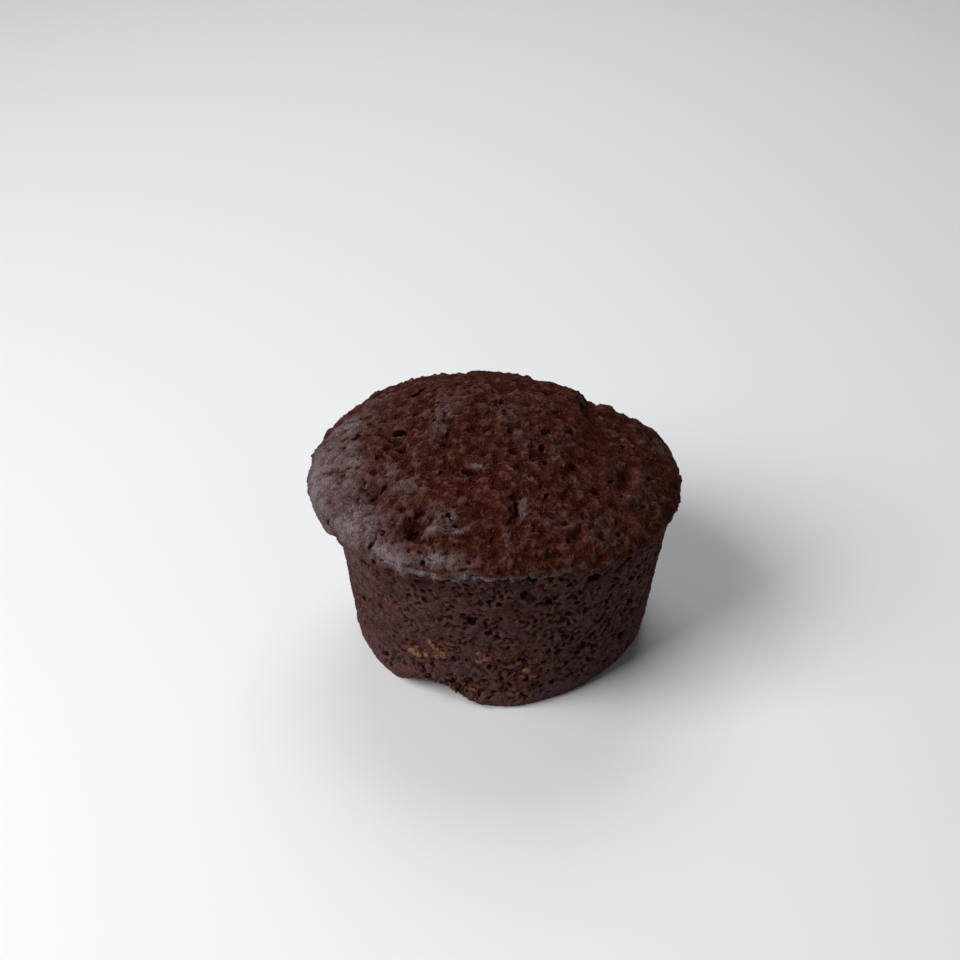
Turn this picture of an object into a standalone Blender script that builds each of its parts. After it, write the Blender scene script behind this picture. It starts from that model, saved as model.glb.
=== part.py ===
"""A round chocolate brownie, baked in a muffin tin: one solid cake.

A tapered body with a flat base carries a low, uneven dome whose lip spread over the tin's edge.
The origin is the middle of the flat base, +Z is up, and -Y is the side that faces the viewer.
Azimuths are in degrees about +Z: 0 is the right side (+X), 90 the back, 180 the left, 270 the front.
"""

import math
import random

import bpy
import numpy as np
from mathutils import Vector, noise

MM = 0.001

# Driving dimensions of the turned cake, before it gets uneven
HEIGHT = 53.8 * MM
BASE_RADIUS = 32.3 * MM
WALL_RADIUS = 38.2 * MM
BASE_CORNER = 1.6 * MM
RIM_RADIUS = 40.0 * MM
RIM_HEIGHT = 39.5 * MM
LIP_DEPTH = 4.5 * MM

# The lip is a roll up to the dome, which leaves it at an angle and is level at its top.
# The two pulls are how far the dome's curve keeps each of those directions.
ROLL_RADIUS = 4.0 * MM
ROLL_TURN = 55
LOWER_PULL = 9.0 * MM
TOP_PULL = 18.0 * MM

# Below the rim the lip's section is part of a superellipse: 2 is an ellipse and less is leaner
LIP_FULLNESS = 1.85

# How the cake departs from a turned one: a value for each azimuth, with smooth blends between them
AROUND_STEP = 45
LIP_SPREAD = {0: -1.2, 45: -2.5, 90: -1.7, 135: 0.9, 180: 2.5, 225: 0.5, 270: -0.8, 315: -0.9}
RIM_LIFT = {0: -1.5, 45: -2.3, 90: 0.0, 135: 0.6, 180: -0.9, 225: 0.0, 270: 2.0, 315: 0.5}
SHOULDER_LIFT = {0: -0.2, 45: -1.5, 90: -0.4, 135: 0.3, 180: 0.2, 225: 0.0, 270: 0.0, 315: 0.0}
EDGE_HEIGHT = {0: 34.6, 45: 33.6, 90: 35.0, 135: 34.0, 180: 31.2, 225: 34.3, 270: 39.8, 315: 37.3}
FOOT_SPREAD = {0: 0.3, 45: 0.0, 90: 0.0, 135: 0.0, 180: 0.8, 225: 1.0, 270: 0.4, 315: -0.9}

# Broad swells and sags of the crust: (x, y, half length, half width, turn in degrees, rise), in mm
SWELLS = (
    (-3.0, 31.0, 5.0, 5.0, 0, 1.0),
    (12.0, 32.0, 9.0, 7.0, -25, -1.2),
    (21.0, 27.0, 6.0, 4.0, -40, -0.7),
    (-5.0, 6.0, 13.0, 9.0, 100, 0.7),
    (3.0, -16.0, 12.0, 7.0, 10, 0.5),
    (21.0, -2.0, 5.0, 13.0, -15, -1.2),
    (31.0, -2.0, 4.0, 14.0, 0, 0.5),
    (-24.0, -6.0, 7.0, 9.0, 0, -0.7),
    (-34.0, 6.0, 5.0, 12.0, 0, 0.5),
    (-20.0, -24.0, 8.0, 5.0, -35, 0.6),
)

# Hollows in the crust: (x, y, half length, half width, turn, depth), in mm and degrees
CRUST_HOLLOWS = (
    (-22.6, -2.8, 1.6, 1.0, 0, 2.2),
    (-22.1, -8.7, 1.7, 1.7, 0, 2.0),
    (-32.5, 2.0, 1.8, 1.0, -10, 1.8),
    (-7.6, -18.2, 2.0, 1.1, -12, 2.2),
    (-17.7, -29.0, 3.6, 3.0, 40, 2.8),
    (-10.6, -29.0, 3.0, 1.6, 0, 0.8),
    (2.4, -27.6, 1.1, 3.4, 0, 1.8),
    (-16.0, -35.8, 1.5, 1.3, 0, 1.3),
    (-25.7, -18.5, 3.2, 1.3, 40, 1.7),
    (-27.4, -29.0, 1.0, 2.0, -20, 1.2),
    (-19.0, 14.7, 3.0, 1.1, 30, 1.4),
    (-7.9, 19.9, 1.6, 1.2, 0, 1.4),
    (0.5, 5.0, 2.0, 1.6, 0, 1.0),
    (2.0, -4.5, 1.3, 1.6, 0, 1.2),
    (9.6, -7.4, 1.4, 2.6, 15, 1.6),
    (14.4, -4.2, 1.5, 1.0, 0, 1.1),
    (15.2, -16.2, 1.8, 1.5, 0, 1.5),
    (19.3, -20.5, 1.6, 1.3, 0, 1.3),
    (25.4, -14.6, 2.2, 4.2, -12, 1.6),
    (25.5, -4.4, 1.3, 1.2, 0, 1.1),
    (14.4, -31.3, 1.3, 1.2, 0, 1.2),
    (24.9, -27.2, 1.4, 1.2, 0, 1.2),
    (-37.4, -7.5, 1.6, 1.3, 0, 0.9),
)

# Hollows in the side: (azimuth, height, half length along the side, half height, turn, depth)
SIDE_HOLLOWS = (
    (277, 34.3, 1.7, 1.4, 0, 1.5),
    (285, 31.3, 1.3, 1.2, 0, 1.4),
    (299, 35.0, 2.0, 1.1, 0, 1.5),
    (259, 26.3, 1.2, 1.4, 0, 1.4),
    (267, 23.7, 2.2, 1.1, -15, 1.3),
    (301, 15.2, 4.2, 1.4, 35, 1.0),
    (290, 14.0, 0.9, 1.8, 0, 1.1),
    (223, 20.5, 0.9, 1.3, 0, 1.1),
    (266, 33.2, 1.1, 1.1, 0, 1.1),
    (263, 31.0, 1.1, 1.3, 0, 1.1),
    (296, 26.6, 1.3, 1.1, 30, 1.1),
    (289, 24.4, 1.3, 0.9, 0, 1.0),
    (258, 6.4, 1.6, 1.2, 0, 1.2),
    (263, 6.8, 1.0, 1.4, 0, 1.1),
    (271, 5.6, 1.3, 1.3, 0, 1.1),
)

# The crust's crack at the back right, as points (x, y) in mm on its way down from the crown
CRACK_ROUTE = ((27.0, 33.0), (24.0, 27.0), (20.8, 20.0), (19.0, 13.0), (19.6, 6.0))
CRACK_HALF_WIDTH = 1.5 * MM
CRACK_DEPTH = 1.8 * MM

# The left margin of the raised crown, where the crust steps up: points (x, y) in mm, from back to front
STEP_ROUTE = ((-12.0, 15.0), (-13.0, 6.0), (-14.0, -1.0), (-17.0, -7.5), (-18.2, -15.0))
STEP_RISE = 1.0 * MM
STEP_HALF_WIDTH = 0.9 * MM
STEP_FADE = 9.0 * MM
STEP_ENDS = (-16.0 * MM, 15.0 * MM)
STEP_END_FADE = 4.0 * MM

# The torn spot at the foot of the side
TEAR_AZIMUTH = 243
TEAR_HALF_ANGLE = 17
TEAR_RISE = 2.7 * MM
TEAR_SET_IN = 1.5 * MM
TEAR_REACH = 8.0 * MM

# Chance unevenness
SEED = 20
CRUST_LUMPS = ((9.0 * MM, 0.5 * MM), (3.6 * MM, 0.45 * MM))
SIDE_LUMPS = ((8.0 * MM, 0.3 * MM), (3.2 * MM, 0.15 * MM))
CRUST_PITS = 26
SIDE_PITS = 60
BARE_OF_PITS = 50
PIT_RADIUS = (0.9 * MM, 1.7 * MM)
PIT_DEPTH = (0.6 * MM, 1.3 * MM)

# Colour of the cake, as linear red, green and blue
CAKE_COLOUR = (0.050, 0.024, 0.018, 1.0)
CAKE_ROUGHNESS = 0.75

# How the mesh is made
TURN_STEPS = 144
SKIN_STEP = 0.65 * MM
FLAT_BAND = 0.35 * MM
TRIANGLES_KEPT = 11000


def wall_radius(height):
    """Radius of the tapered side at a height, from the base to the rim."""
    share = height / RIM_HEIGHT
    return BASE_RADIUS + (WALL_RADIUS - BASE_RADIUS) * share


def outline():
    """Half the turned cake's section as (radius, height), from the top of the dome down to the base."""
    points = []
    turn = math.radians(ROLL_TURN)
    roll_centre = np.array((RIM_RADIUS - ROLL_RADIUS, RIM_HEIGHT))
    dome_start = roll_centre + ROLL_RADIUS * np.array((math.cos(turn), math.sin(turn)))
    lower_handle = dome_start + LOWER_PULL * np.array((-math.sin(turn), math.cos(turn)))
    top = np.array((0.0, HEIGHT))
    top_handle = top + np.array((TOP_PULL, 0.0))
    dome_steps = 44
    for i in range(dome_steps):
        t = 1 - i / dome_steps
        curve = (1 - t) ** 3 * dome_start + 3 * t * (1 - t) ** 2 * lower_handle
        curve = curve + 3 * t * t * (1 - t) * top_handle + t ** 3 * top
        points.append(tuple(curve))
    roll_steps = 6
    for i in range(roll_steps):
        angle = turn * (1 - i / roll_steps)
        rolled = roll_centre + ROLL_RADIUS * np.array((math.cos(angle), math.sin(angle)))
        points.append(tuple(rolled))
    edge = RIM_HEIGHT - LIP_DEPTH
    lip_steps = 10
    for i in range(lip_steps):
        turn = math.radians(90 * i / lip_steps)
        radius = wall_radius(edge) + (RIM_RADIUS - wall_radius(edge)) * math.cos(turn) ** (2 / LIP_FULLNESS)
        points.append((radius, RIM_HEIGHT - LIP_DEPTH * math.sin(turn) ** (2 / LIP_FULLNESS)))
    wall_steps = 36
    for i in range(wall_steps + 1):
        height = edge + (BASE_CORNER - edge) * i / wall_steps
        points.append((wall_radius(height), height))
    corner_steps = 4
    corner_centre = points[-1][0] - BASE_CORNER
    for i in range(1, corner_steps + 1):
        turn = math.radians(90 * i / corner_steps)
        points.append((corner_centre + BASE_CORNER * math.cos(turn), BASE_CORNER * (1 - math.sin(turn))))
    points.append((0.0, 0.0))
    return points


def turned_cake():
    """The outline turned about Z: the cake as it would be with no unevenness at all."""
    points = outline()
    mesh = bpy.data.meshes.new("outline")
    mesh.from_pydata([(r, 0.0, z) for r, z in points], [(i, i + 1) for i in range(len(points) - 1)], [])
    cake = bpy.data.objects.new("turned_cake", mesh)
    bpy.context.scene.collection.objects.link(cake)
    screw = cake.modifiers.new("turn", "SCREW")
    screw.steps = screw.render_steps = TURN_STEPS
    screw.use_merge_vertices = True
    screw.merge_threshold = 0.00001
    return cake


def evaluated_copy(source, name):
    """A new object with the source's shape after its modifiers. The source is removed."""
    graph = bpy.context.evaluated_depsgraph_get()
    mesh = bpy.data.meshes.new_from_object(source.evaluated_get(graph))
    copy = bpy.data.objects.new(name, mesh)
    bpy.context.scene.collection.objects.link(copy)
    bpy.data.objects.remove(source)
    return copy


def read_points(mesh):
    flat = np.empty(len(mesh.vertices) * 3)
    mesh.vertices.foreach_get("co", flat)
    return flat.reshape(-1, 3)


def read_normals(mesh):
    flat = np.empty(len(mesh.vertices) * 3)
    mesh.vertex_normals.foreach_get("vector", flat)
    return flat.reshape(-1, 3)


def write_points(mesh, points):
    mesh.vertices.foreach_set("co", points.ravel())
    mesh.update()


def azimuth_of(points):
    return np.degrees(np.arctan2(points[:, 1], points[:, 0])) % 360


def away_from(azimuth, middle):
    """Angle in degrees between each azimuth and the middle one."""
    return np.abs((azimuth - middle + 180) % 360 - 180)


def around(azimuth, values):
    """Smooth blend of the values, in mm, given for a few azimuths."""
    total = np.zeros_like(azimuth)
    for middle, value in values.items():
        gap = np.minimum(away_from(azimuth, middle) / AROUND_STEP, 1)
        total += value * MM * np.cos(gap * math.pi / 2) ** 2
    return total


def make_uneven(points):
    """Spreads and lifts the lip of the turned cake, and spreads its foot, by azimuth."""
    azimuth = azimuth_of(points)
    height = points[:, 2]
    radius = np.hypot(points[:, 0], points[:, 1])
    edge = RIM_HEIGHT - LIP_DEPTH
    new_edge = around(azimuth, EDGE_HEIGHT)
    new_rim = RIM_HEIGHT + around(azimuth, RIM_LIFT)
    new_rim_radius = RIM_RADIUS + around(azimuth, LIP_SPREAD)

    on_wall = height <= edge
    on_lip = (height > edge) & (height <= RIM_HEIGHT)
    wall_height = height * new_edge / edge
    foot = around(azimuth, FOOT_SPREAD) * (1 - np.minimum(height / edge, 1))
    wall_scale = (wall_radius(wall_height) + foot) / wall_radius(height)
    lip_height = new_edge + (height - edge) * (new_rim - new_edge) / LIP_DEPTH
    lip_share = (radius - wall_radius(edge)) / (RIM_RADIUS - wall_radius(edge))
    lip_radius = wall_radius(new_edge) + (new_rim_radius - wall_radius(new_edge)) * lip_share
    dome_height = new_rim + (height - RIM_HEIGHT) * (HEIGHT - new_rim) / (HEIGHT - RIM_HEIGHT)
    dome_height += around(azimuth, SHOULDER_LIFT) * bell((radius / RIM_RADIUS - 0.78) / 0.22)
    dome_radius = radius * new_rim_radius / RIM_RADIUS

    new_radius = np.where(on_wall, radius * wall_scale, np.where(on_lip, lip_radius, dome_radius))
    new_height = np.where(on_wall, wall_height, np.where(on_lip, lip_height, dome_height))
    scale = new_radius / np.maximum(radius, MM / 1000)
    return np.stack([points[:, 0] * scale, points[:, 1] * scale, new_height], axis=1)


def bell(distance):
    """1 in the middle, falling smoothly to 0.02 at a distance of 2."""
    return np.exp(-distance * distance)


def bowl(distance):
    """A hollow's depth, 1 in the middle and 0 from a distance of 1 on, with a steep side."""
    return np.clip(1 - distance ** 3, 0, 1)


def smooth_step(value, low, high):
    share = np.clip((value - low) / (high - low), 0, 1)
    return share * share * (3 - 2 * share)


def crust_share(points):
    """0 on the side and the base, 1 on the lip and the dome."""
    edge = around(azimuth_of(points), EDGE_HEIGHT)
    return smooth_step(points[:, 2], edge - 1 * MM, edge + 1 * MM)


def plan_distance(points, x, y, half_length, half_width, turn):
    """Distance from a spot seen from above, as a share of the spot's half length and half width."""
    along = math.radians(turn)
    dx = points[:, 0] - x * MM
    dy = points[:, 1] - y * MM
    u = (dx * math.cos(along) + dy * math.sin(along)) / (half_length * MM)
    v = (dy * math.cos(along) - dx * math.sin(along)) / (half_width * MM)
    return np.hypot(u, v)


def side_distance(points, azimuth, height, half_length, half_height, turn):
    """Distance from a spot on the side, measured along the side and up it."""
    along = math.radians(turn)
    gap = (azimuth_of(points) - azimuth + 180) % 360 - 180
    dx = np.radians(gap) * np.hypot(points[:, 0], points[:, 1])
    dy = points[:, 2] - height * MM
    u = (dx * math.cos(along) + dy * math.sin(along)) / (half_length * MM)
    v = (dy * math.cos(along) - dx * math.sin(along)) / (half_height * MM)
    return np.hypot(u, v)


def route_distance(points, route):
    """Distance from a route of straight runs seen from above, and on which side: 1 left of it, -1 right."""
    nearest = np.full(len(points), np.inf)
    side = np.zeros(len(points))
    plan = points[:, :2]
    for start, end in zip(route, route[1:]):
        start = np.array(start) * MM
        run = np.array(end) * MM - start
        offset = plan - start
        share = np.clip(offset @ run / (run @ run), 0, 1)
        distance = np.linalg.norm(offset - share[:, None] * run, axis=1)
        side = np.where(distance < nearest, np.sign(run[0] * offset[:, 1] - run[1] * offset[:, 0]), side)
        nearest = np.minimum(nearest, distance)
    return nearest, side


def lumps(points, sizes):
    """Smooth chance unevenness: for each size of lump, its height."""
    total = np.zeros(len(points))
    for size, height in sizes:
        shift = Vector((SEED, size / MM, 0.5))
        total += height * np.array([noise.noise(Vector(p) / size + shift) for p in points])
    return total


def chance_pits(points, share, count, draw):
    """Small round pits at chance places where share is 1, away from the front with its own hollows."""
    depth = np.zeros(len(points))
    behind = away_from(azimuth_of(points), 270) > BARE_OF_PITS
    places = np.flatnonzero((share > 0.9) & behind & (points[:, 2] > 2 * MM))
    for _ in range(count):
        middle = points[places[draw.randrange(len(places))]]
        radius = draw.uniform(*PIT_RADIUS)
        deep = draw.uniform(*PIT_DEPTH)
        distance = np.linalg.norm(points - middle, axis=1) / radius
        depth = np.maximum(depth, deep * bowl(distance))
    return depth


def relief(points, normals):
    """How far each point moves out along its normal."""
    crust = crust_share(points)
    upward = smooth_step(normals[:, 2], -0.2, 0.2)
    on_base = (points[:, 2] < FLAT_BAND) | (normals[:, 2] < -0.8)
    side = (1 - crust) * ~on_base
    draw = random.Random(SEED)

    out = crust * lumps(points, CRUST_LUMPS) + side * lumps(points, SIDE_LUMPS)
    for x, y, half_length, half_width, turn, rise in SWELLS:
        out += crust * upward * rise * MM * bell(plan_distance(points, x, y, half_length, half_width, turn))
    distance, _ = route_distance(points, CRACK_ROUTE)
    out -= crust * CRACK_DEPTH * bell(distance / CRACK_HALF_WIDTH)
    distance, side_of_step = route_distance(points, STEP_ROUTE)
    raised = smooth_step(distance * side_of_step, -STEP_HALF_WIDTH, STEP_HALF_WIDTH)
    front_end, back_end = STEP_ENDS
    raised *= smooth_step(points[:, 1], front_end, front_end + STEP_END_FADE)
    raised *= 1 - smooth_step(points[:, 1], back_end - STEP_END_FADE, back_end)
    out += crust * upward * STEP_RISE * raised * bell(distance / STEP_FADE)

    hollow = np.zeros(len(points))
    for x, y, half_length, half_width, turn, deep in CRUST_HOLLOWS:
        distance = plan_distance(points, x, y, half_length, half_width, turn)
        hollow = np.maximum(hollow, crust * upward * deep * MM * bowl(distance))
    for azimuth, height, half_length, half_height, turn, deep in SIDE_HOLLOWS:
        distance = side_distance(points, azimuth, height, half_length, half_height, turn)
        hollow = np.maximum(hollow, side * deep * MM * bowl(distance))
    hollow = np.maximum(hollow, crust * chance_pits(points, crust * upward, CRUST_PITS, draw))
    hollow = np.maximum(hollow, side * chance_pits(points, side, SIDE_PITS, draw))
    return out - hollow


def tear_foot(points):
    """Lifts the base's edge and sets the side in at the torn spot."""
    gap = away_from(azimuth_of(points), TEAR_AZIMUTH) / TEAR_HALF_ANGLE
    radius = np.hypot(points[:, 0], points[:, 1])
    share = np.clip(1 - gap ** 2, 0, 1)
    outer = smooth_step(radius, BASE_RADIUS - TEAR_REACH * 0.55, BASE_RADIUS - 1 * MM)
    low = np.clip(1 - points[:, 2] / TEAR_REACH, 0, 1)
    torn = points.copy()
    torn[:, 2] += TEAR_RISE * share * outer * low
    scale = 1 - TEAR_SET_IN * share * outer * low / np.maximum(radius, MM)
    torn[:, :2] *= scale[:, None]
    return torn


def cake_material():
    material = bpy.data.materials.new("brownie_cake")
    material.use_nodes = True
    shader = material.node_tree.nodes["Principled BSDF"]
    shader.inputs["Base Color"].default_value = CAKE_COLOUR
    shader.inputs["Roughness"].default_value = CAKE_ROUGHNESS
    shader.inputs["Metallic"].default_value = 0.0
    material.diffuse_color = CAKE_COLOUR
    return material


def main():
    for obj in list(bpy.data.objects):
        bpy.data.objects.remove(obj)

    cake = evaluated_copy(turned_cake(), "uneven_cake")
    write_points(cake.data, make_uneven(read_points(cake.data)))
    skin = cake.modifiers.new("even_skin", "REMESH")
    skin.mode = "VOXEL"
    skin.voxel_size = SKIN_STEP

    brownie = evaluated_copy(cake, "brownie")
    points = read_points(brownie.data)
    normals = read_normals(brownie.data)
    points = points + normals * relief(points, normals)[:, None]
    points = tear_foot(points)
    points[:, 2] = np.where(points[:, 2] < FLAT_BAND, 0.0, points[:, 2])
    write_points(brownie.data, points)
    brownie.data.materials.append(cake_material())
    thin = brownie.modifiers.new("fewer_faces", "DECIMATE")
    thin.ratio = min(1.0, TRIANGLES_KEPT / (2 * len(brownie.data.polygons)))


main()
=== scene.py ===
# %% [markdown]
# # A chocolate brownie baked in a muffin tin
#
# The frame holds one plain solid with the cake's true form: a tapered body with a flat base, and a low,
# uneven dome whose lip spread over the tin's edge. This lesson models the same cake as the eye sees it,
# with its craggy crust, its open pores, its crumbs and the amber bits that were baked into it.
#
# All places are in metres, in the frame's own axes: +Z is up, and -Y is the side that faces the camera.
# Azimuths are degrees about +Z: 0 is the right side, 90 the back, 180 the left and 270 the front.

import math
import random

import bpy
import numpy as np
from mathutils import Matrix, Vector
from mathutils.bvhtree import BVHTree
from mathutils.noise import noise as noise_of


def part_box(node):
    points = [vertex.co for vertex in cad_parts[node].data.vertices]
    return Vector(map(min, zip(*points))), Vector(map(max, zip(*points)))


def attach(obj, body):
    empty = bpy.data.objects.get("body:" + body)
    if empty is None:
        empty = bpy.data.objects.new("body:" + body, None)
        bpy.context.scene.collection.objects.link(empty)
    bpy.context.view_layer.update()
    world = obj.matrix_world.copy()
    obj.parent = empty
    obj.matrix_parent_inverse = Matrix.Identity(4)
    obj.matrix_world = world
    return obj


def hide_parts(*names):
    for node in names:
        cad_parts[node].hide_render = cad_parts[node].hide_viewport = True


MM = 0.001
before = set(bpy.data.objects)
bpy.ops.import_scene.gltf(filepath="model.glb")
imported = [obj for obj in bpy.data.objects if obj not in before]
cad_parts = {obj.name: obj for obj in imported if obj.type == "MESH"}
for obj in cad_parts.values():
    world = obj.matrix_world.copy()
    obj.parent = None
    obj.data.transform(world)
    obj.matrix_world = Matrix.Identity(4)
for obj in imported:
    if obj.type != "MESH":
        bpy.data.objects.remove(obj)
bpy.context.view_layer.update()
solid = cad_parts["brownie"]
low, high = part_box("brownie")
HEIGHT = high.z - low.z
print(f"the frame's cake is {(high.x - low.x) / MM:.1f} mm wide and {HEIGHT / MM:.1f} mm high")

# %% [markdown]
# ## The camera
#
# The photograph looks down on the cake from the front, at about 39 degrees. A longish lens from 38 cm
# away gives the same mild perspective: the lip looks only a little larger than the base.

# %% Camera
CAMERA_PLACE = Vector((-5.0, -296.9, 237.1)) * MM
CAMERA_DOWN = 33.94
CAMERA_LENS = 60.86

bpy.ops.object.camera_add(location=CAMERA_PLACE, rotation=(math.radians(90 - CAMERA_DOWN), 0, 0))
camera = bpy.context.object
camera.name = "photo_view"
camera.data.lens = CAMERA_LENS
bpy.context.scene.camera = camera
print(f"the camera is {CAMERA_PLACE.length / MM:.0f} mm from the middle of the base")

# %% [markdown]
# Most of this cake's marks are placed where the photograph shows them. A mark is named by its pixel, from
# the photograph's left and top edge, and a ray from the camera through that pixel meets the skin in the
# mark's true place. Its size is then given in millimetres on the skin, along the photograph's right and
# up, with a turn in degrees, anticlockwise as the camera sees it.

# %% From a pixel to the skin
PHOTO_SIDE = 960
SENSOR_WIDTH = 36.0
RIGHT = Vector((1, 0, 0))


def seen_at(tree, px, py):
    """The point and the normal of the skin that the camera sees at a pixel."""
    focal = CAMERA_LENS / SENSOR_WIDTH * PHOTO_SIDE
    look = Vector((px - PHOTO_SIDE / 2, PHOTO_SIDE / 2 - py, -focal)).normalized()
    look.rotate(Matrix.Rotation(math.radians(90 - CAMERA_DOWN), 3, "X"))
    point, normal, _, _ = tree.ray_cast(CAMERA_PLACE, look)
    return point, normal


def skin_frame(normal, turn):
    """Two directions along the skin, turned: first the photograph's right, then its up."""
    up = normal.cross(RIGHT).normalized()
    right = up.cross(normal).normalized()
    angle = math.radians(turn)
    along = right * math.cos(angle) + up * math.sin(angle)
    return along, normal.cross(along)

# %% [markdown]
# ## The body, ring by ring
#
# A cake from a tin is a turned shape, so its body could be a profile that is spun or screwed. Here it
# starts as a filled circle, the base, which is extruded upwards again and again and resized each time.
# Every ring's radius and height can then be read as a size of the cake.

# %% Three small helpers
def only(piece):
    """Selects this object and nothing else, and makes it the active one."""
    bpy.ops.object.select_all(action="DESELECT")
    piece.select_set(True)
    bpy.context.view_layer.objects.active = piece


def shape_with(piece, kind, **settings):
    """Adds a modifier with these settings to a piece, and applies it."""
    only(piece)
    modifier = piece.modifiers.new(kind.lower(), kind)
    for name, value in settings.items():
        setattr(modifier, name, value)
    bpy.ops.object.modifier_apply(modifier=modifier.name)


def remesh(piece, step):
    """Gives a piece one closed skin with even faces of this size."""
    shape_with(piece, "REMESH", mode="VOXEL", voxel_size=step)


# %% The profile's sizes
BASE_RADIUS = 32.3 * MM
BASE_CORNER = 1.6 * MM
WALL_TOP_RADIUS = 37.5 * MM
WALL_TOP = 35.0 * MM
RIM_RADIUS = 40.0 * MM
RIM_HEIGHT = 39.5 * MM
ROUND_STEPS = 96
WALL_RINGS = 4
DOME_RINGS = 8

rings = [(BASE_RADIUS - BASE_CORNER, 0.0)]
for i in range(WALL_RINGS + 1):
    share = i / WALL_RINGS
    radius = BASE_RADIUS + (WALL_TOP_RADIUS - BASE_RADIUS) * share
    rings.append((radius, BASE_CORNER + (WALL_TOP - BASE_CORNER) * share))
for i in range(DOME_RINGS):
    turn = math.radians(90 * i / DOME_RINGS)
    rings.append((RIM_RADIUS * math.cos(turn), RIM_HEIGHT + (HEIGHT - RIM_HEIGHT) * math.sin(turn)))
print(f"{len(rings)} rings from the base to the top of the dome")

# %% Extrude the rings
bpy.ops.object.select_all(action="DESELECT")
bpy.ops.mesh.primitive_circle_add(vertices=ROUND_STEPS, radius=rings[0][0], fill_type="NGON")
cake = bpy.context.object
cake.name = "cake"
bpy.ops.object.mode_set(mode="EDIT")
bpy.ops.mesh.select_all(action="SELECT")
for (radius, height), (next_radius, next_height) in zip(rings, rings[1:]):
    bpy.ops.mesh.extrude_region_move(TRANSFORM_OT_translate={"value": (0, 0, next_height - height)})
    bpy.ops.transform.resize(value=(next_radius / radius, next_radius / radius, 1))
bpy.ops.mesh.select_all(action="SELECT")
bpy.ops.mesh.normals_make_consistent(inside=False)
bpy.ops.object.mode_set(mode="OBJECT")
print(f"the turned body has {len(cake.data.polygons)} faces")

# %% [markdown]
# ## Wrapping it onto the frame's solid
#
# The real cake isn't turned: its lip spread further on the left, it hangs low at the sides and is level
# with the wall in front, and the foot is torn. The frame's solid already has all that. A Shrinkwrap
# modifier pulls the body's skin onto it, and a Remesh in between keeps the faces even, so that the second
# wrap finds the hollows too. A little smoothing takes the solid's facets away.

# %% Wrap, remesh, wrap again
SKIN_STEP = 0.6 * MM
SMOOTH_ROUNDS = 8

remesh(cake, SKIN_STEP)
for _ in range(2):
    shape_with(cake, "SHRINKWRAP", target=solid, wrap_method="NEAREST_SURFACEPOINT")
    remesh(cake, SKIN_STEP)
shape_with(cake, "SMOOTH", factor=0.5, iterations=SMOOTH_ROUNDS)


def read_points(piece):
    flat = np.empty(len(piece.data.vertices) * 3)
    piece.data.vertices.foreach_get("co", flat)
    return flat.reshape(-1, 3)


def read_normals(piece):
    flat = np.empty(len(piece.data.vertices) * 3)
    piece.data.vertex_normals.foreach_get("vector", flat)
    return flat.reshape(-1, 3)


def write_points(piece, points):
    piece.data.vertices.foreach_set("co", points.ravel())
    piece.data.update()


def skin_tree(piece):
    """A search tree of a piece's skin, which rays can be cast at."""
    return BVHTree.FromObject(piece, bpy.context.evaluated_depsgraph_get())


solid_tree = skin_tree(solid)
gaps = [solid_tree.find_nearest(p)[3] for p in read_points(cake)[::20]]
print(f"{len(cake.data.vertices)} points, {np.mean(gaps) / MM:.2f} mm from the solid on average")

# %% [markdown]
# ## Where the crust ends
#
# The cake has two skins. The side was moulded by the tin: it is level, with open pores. The dome baked
# in the open: it is a crust, all crags and grains. The line between them is the lip's lower edge, which
# is higher in front than at the sides. A share from 0 on the side to 1 on the crust, kept as a vertex
# group, lets each modifier work on one skin alone.

# %% The lip's lower edge, and the crust's share
BASE_FADE = (0.3 * MM, 1.5 * MM)
EDGE_BLEND = 1 * MM
EDGE_STEP = 45
# Azimuth in degrees: height in mm
EDGE_HEIGHT = {0: 34.6, 45: 33.6, 90: 35.0, 135: 34.0, 180: 31.2, 225: 34.3, 270: 39.8, 315: 37.3}


def azimuth_of(points):
    return np.degrees(np.arctan2(points[:, 1], points[:, 0])) % 360


def away_from(azimuth, middle):
    return np.abs((azimuth - middle + 180) % 360 - 180)


def edge_height(azimuth):
    """Height of the lip's lower edge, as a smooth blend of the eight heights."""
    total = np.zeros_like(azimuth)
    for middle, height in EDGE_HEIGHT.items():
        gap = np.minimum(away_from(azimuth, middle) / EDGE_STEP, 1)
        total += height * MM * np.cos(gap * math.pi / 2) ** 2
    return total


def smooth_step(value, start, end):
    share = np.clip((value - start) / (end - start), 0, 1)
    return share * share * (3 - 2 * share)


def crust_share(points):
    edge = edge_height(azimuth_of(points))
    return smooth_step(points[:, 2], edge - EDGE_BLEND, edge + EDGE_BLEND)


def off_the_base(points):
    """0 on the flat base, 1 a little above it."""
    return smooth_step(points[:, 2], *BASE_FADE)


def side_share(points):
    return (1 - crust_share(points)) * off_the_base(points)


# %% [markdown]
# Neither skin is even. Some spots lie smoother than the rest, the foot broke off the tin and is torn, and
# in places the side's crumb stayed dense, with few pores. Each of these is one more share. The smooth and
# the torn spots are soft ovals at places that the photograph shows, so each is a row of a table. The dense
# patches have no such places, and a broad noise sets them.

# %% Calm spots, which lie smoother: px, py, half length, half height, turn, share
CALM_SPOTS = (
    (322, 475, 7, 17, 0, 0.75),
    (352, 535, 7, 6, 0, 0.45),
    (588, 425, 6, 9, 0, 0.9),
    (608, 452, 4, 5, -30, 0.8),
    (590, 550, 16, 4, 0, 0.3),
    (500, 378, 16, 5, 0, 0.8),
    (400, 396, 8, 4, 30, 0.6),
    (440, 384, 8, 3, 10, 0.6),
    (660, 455, 5, 12, 0, 0.6),
    (666, 505, 4, 9, 0, 0.5),
    (612, 485, 9, 12, 0, 0.6),
    (635, 515, 9, 7, 0, 0.5),
    (600, 415, 9, 4, -20, 0.6),
    (640, 435, 8, 5, -35, 0.5),
    (380, 612, 9, 14, 0, 0.5),
)


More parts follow.
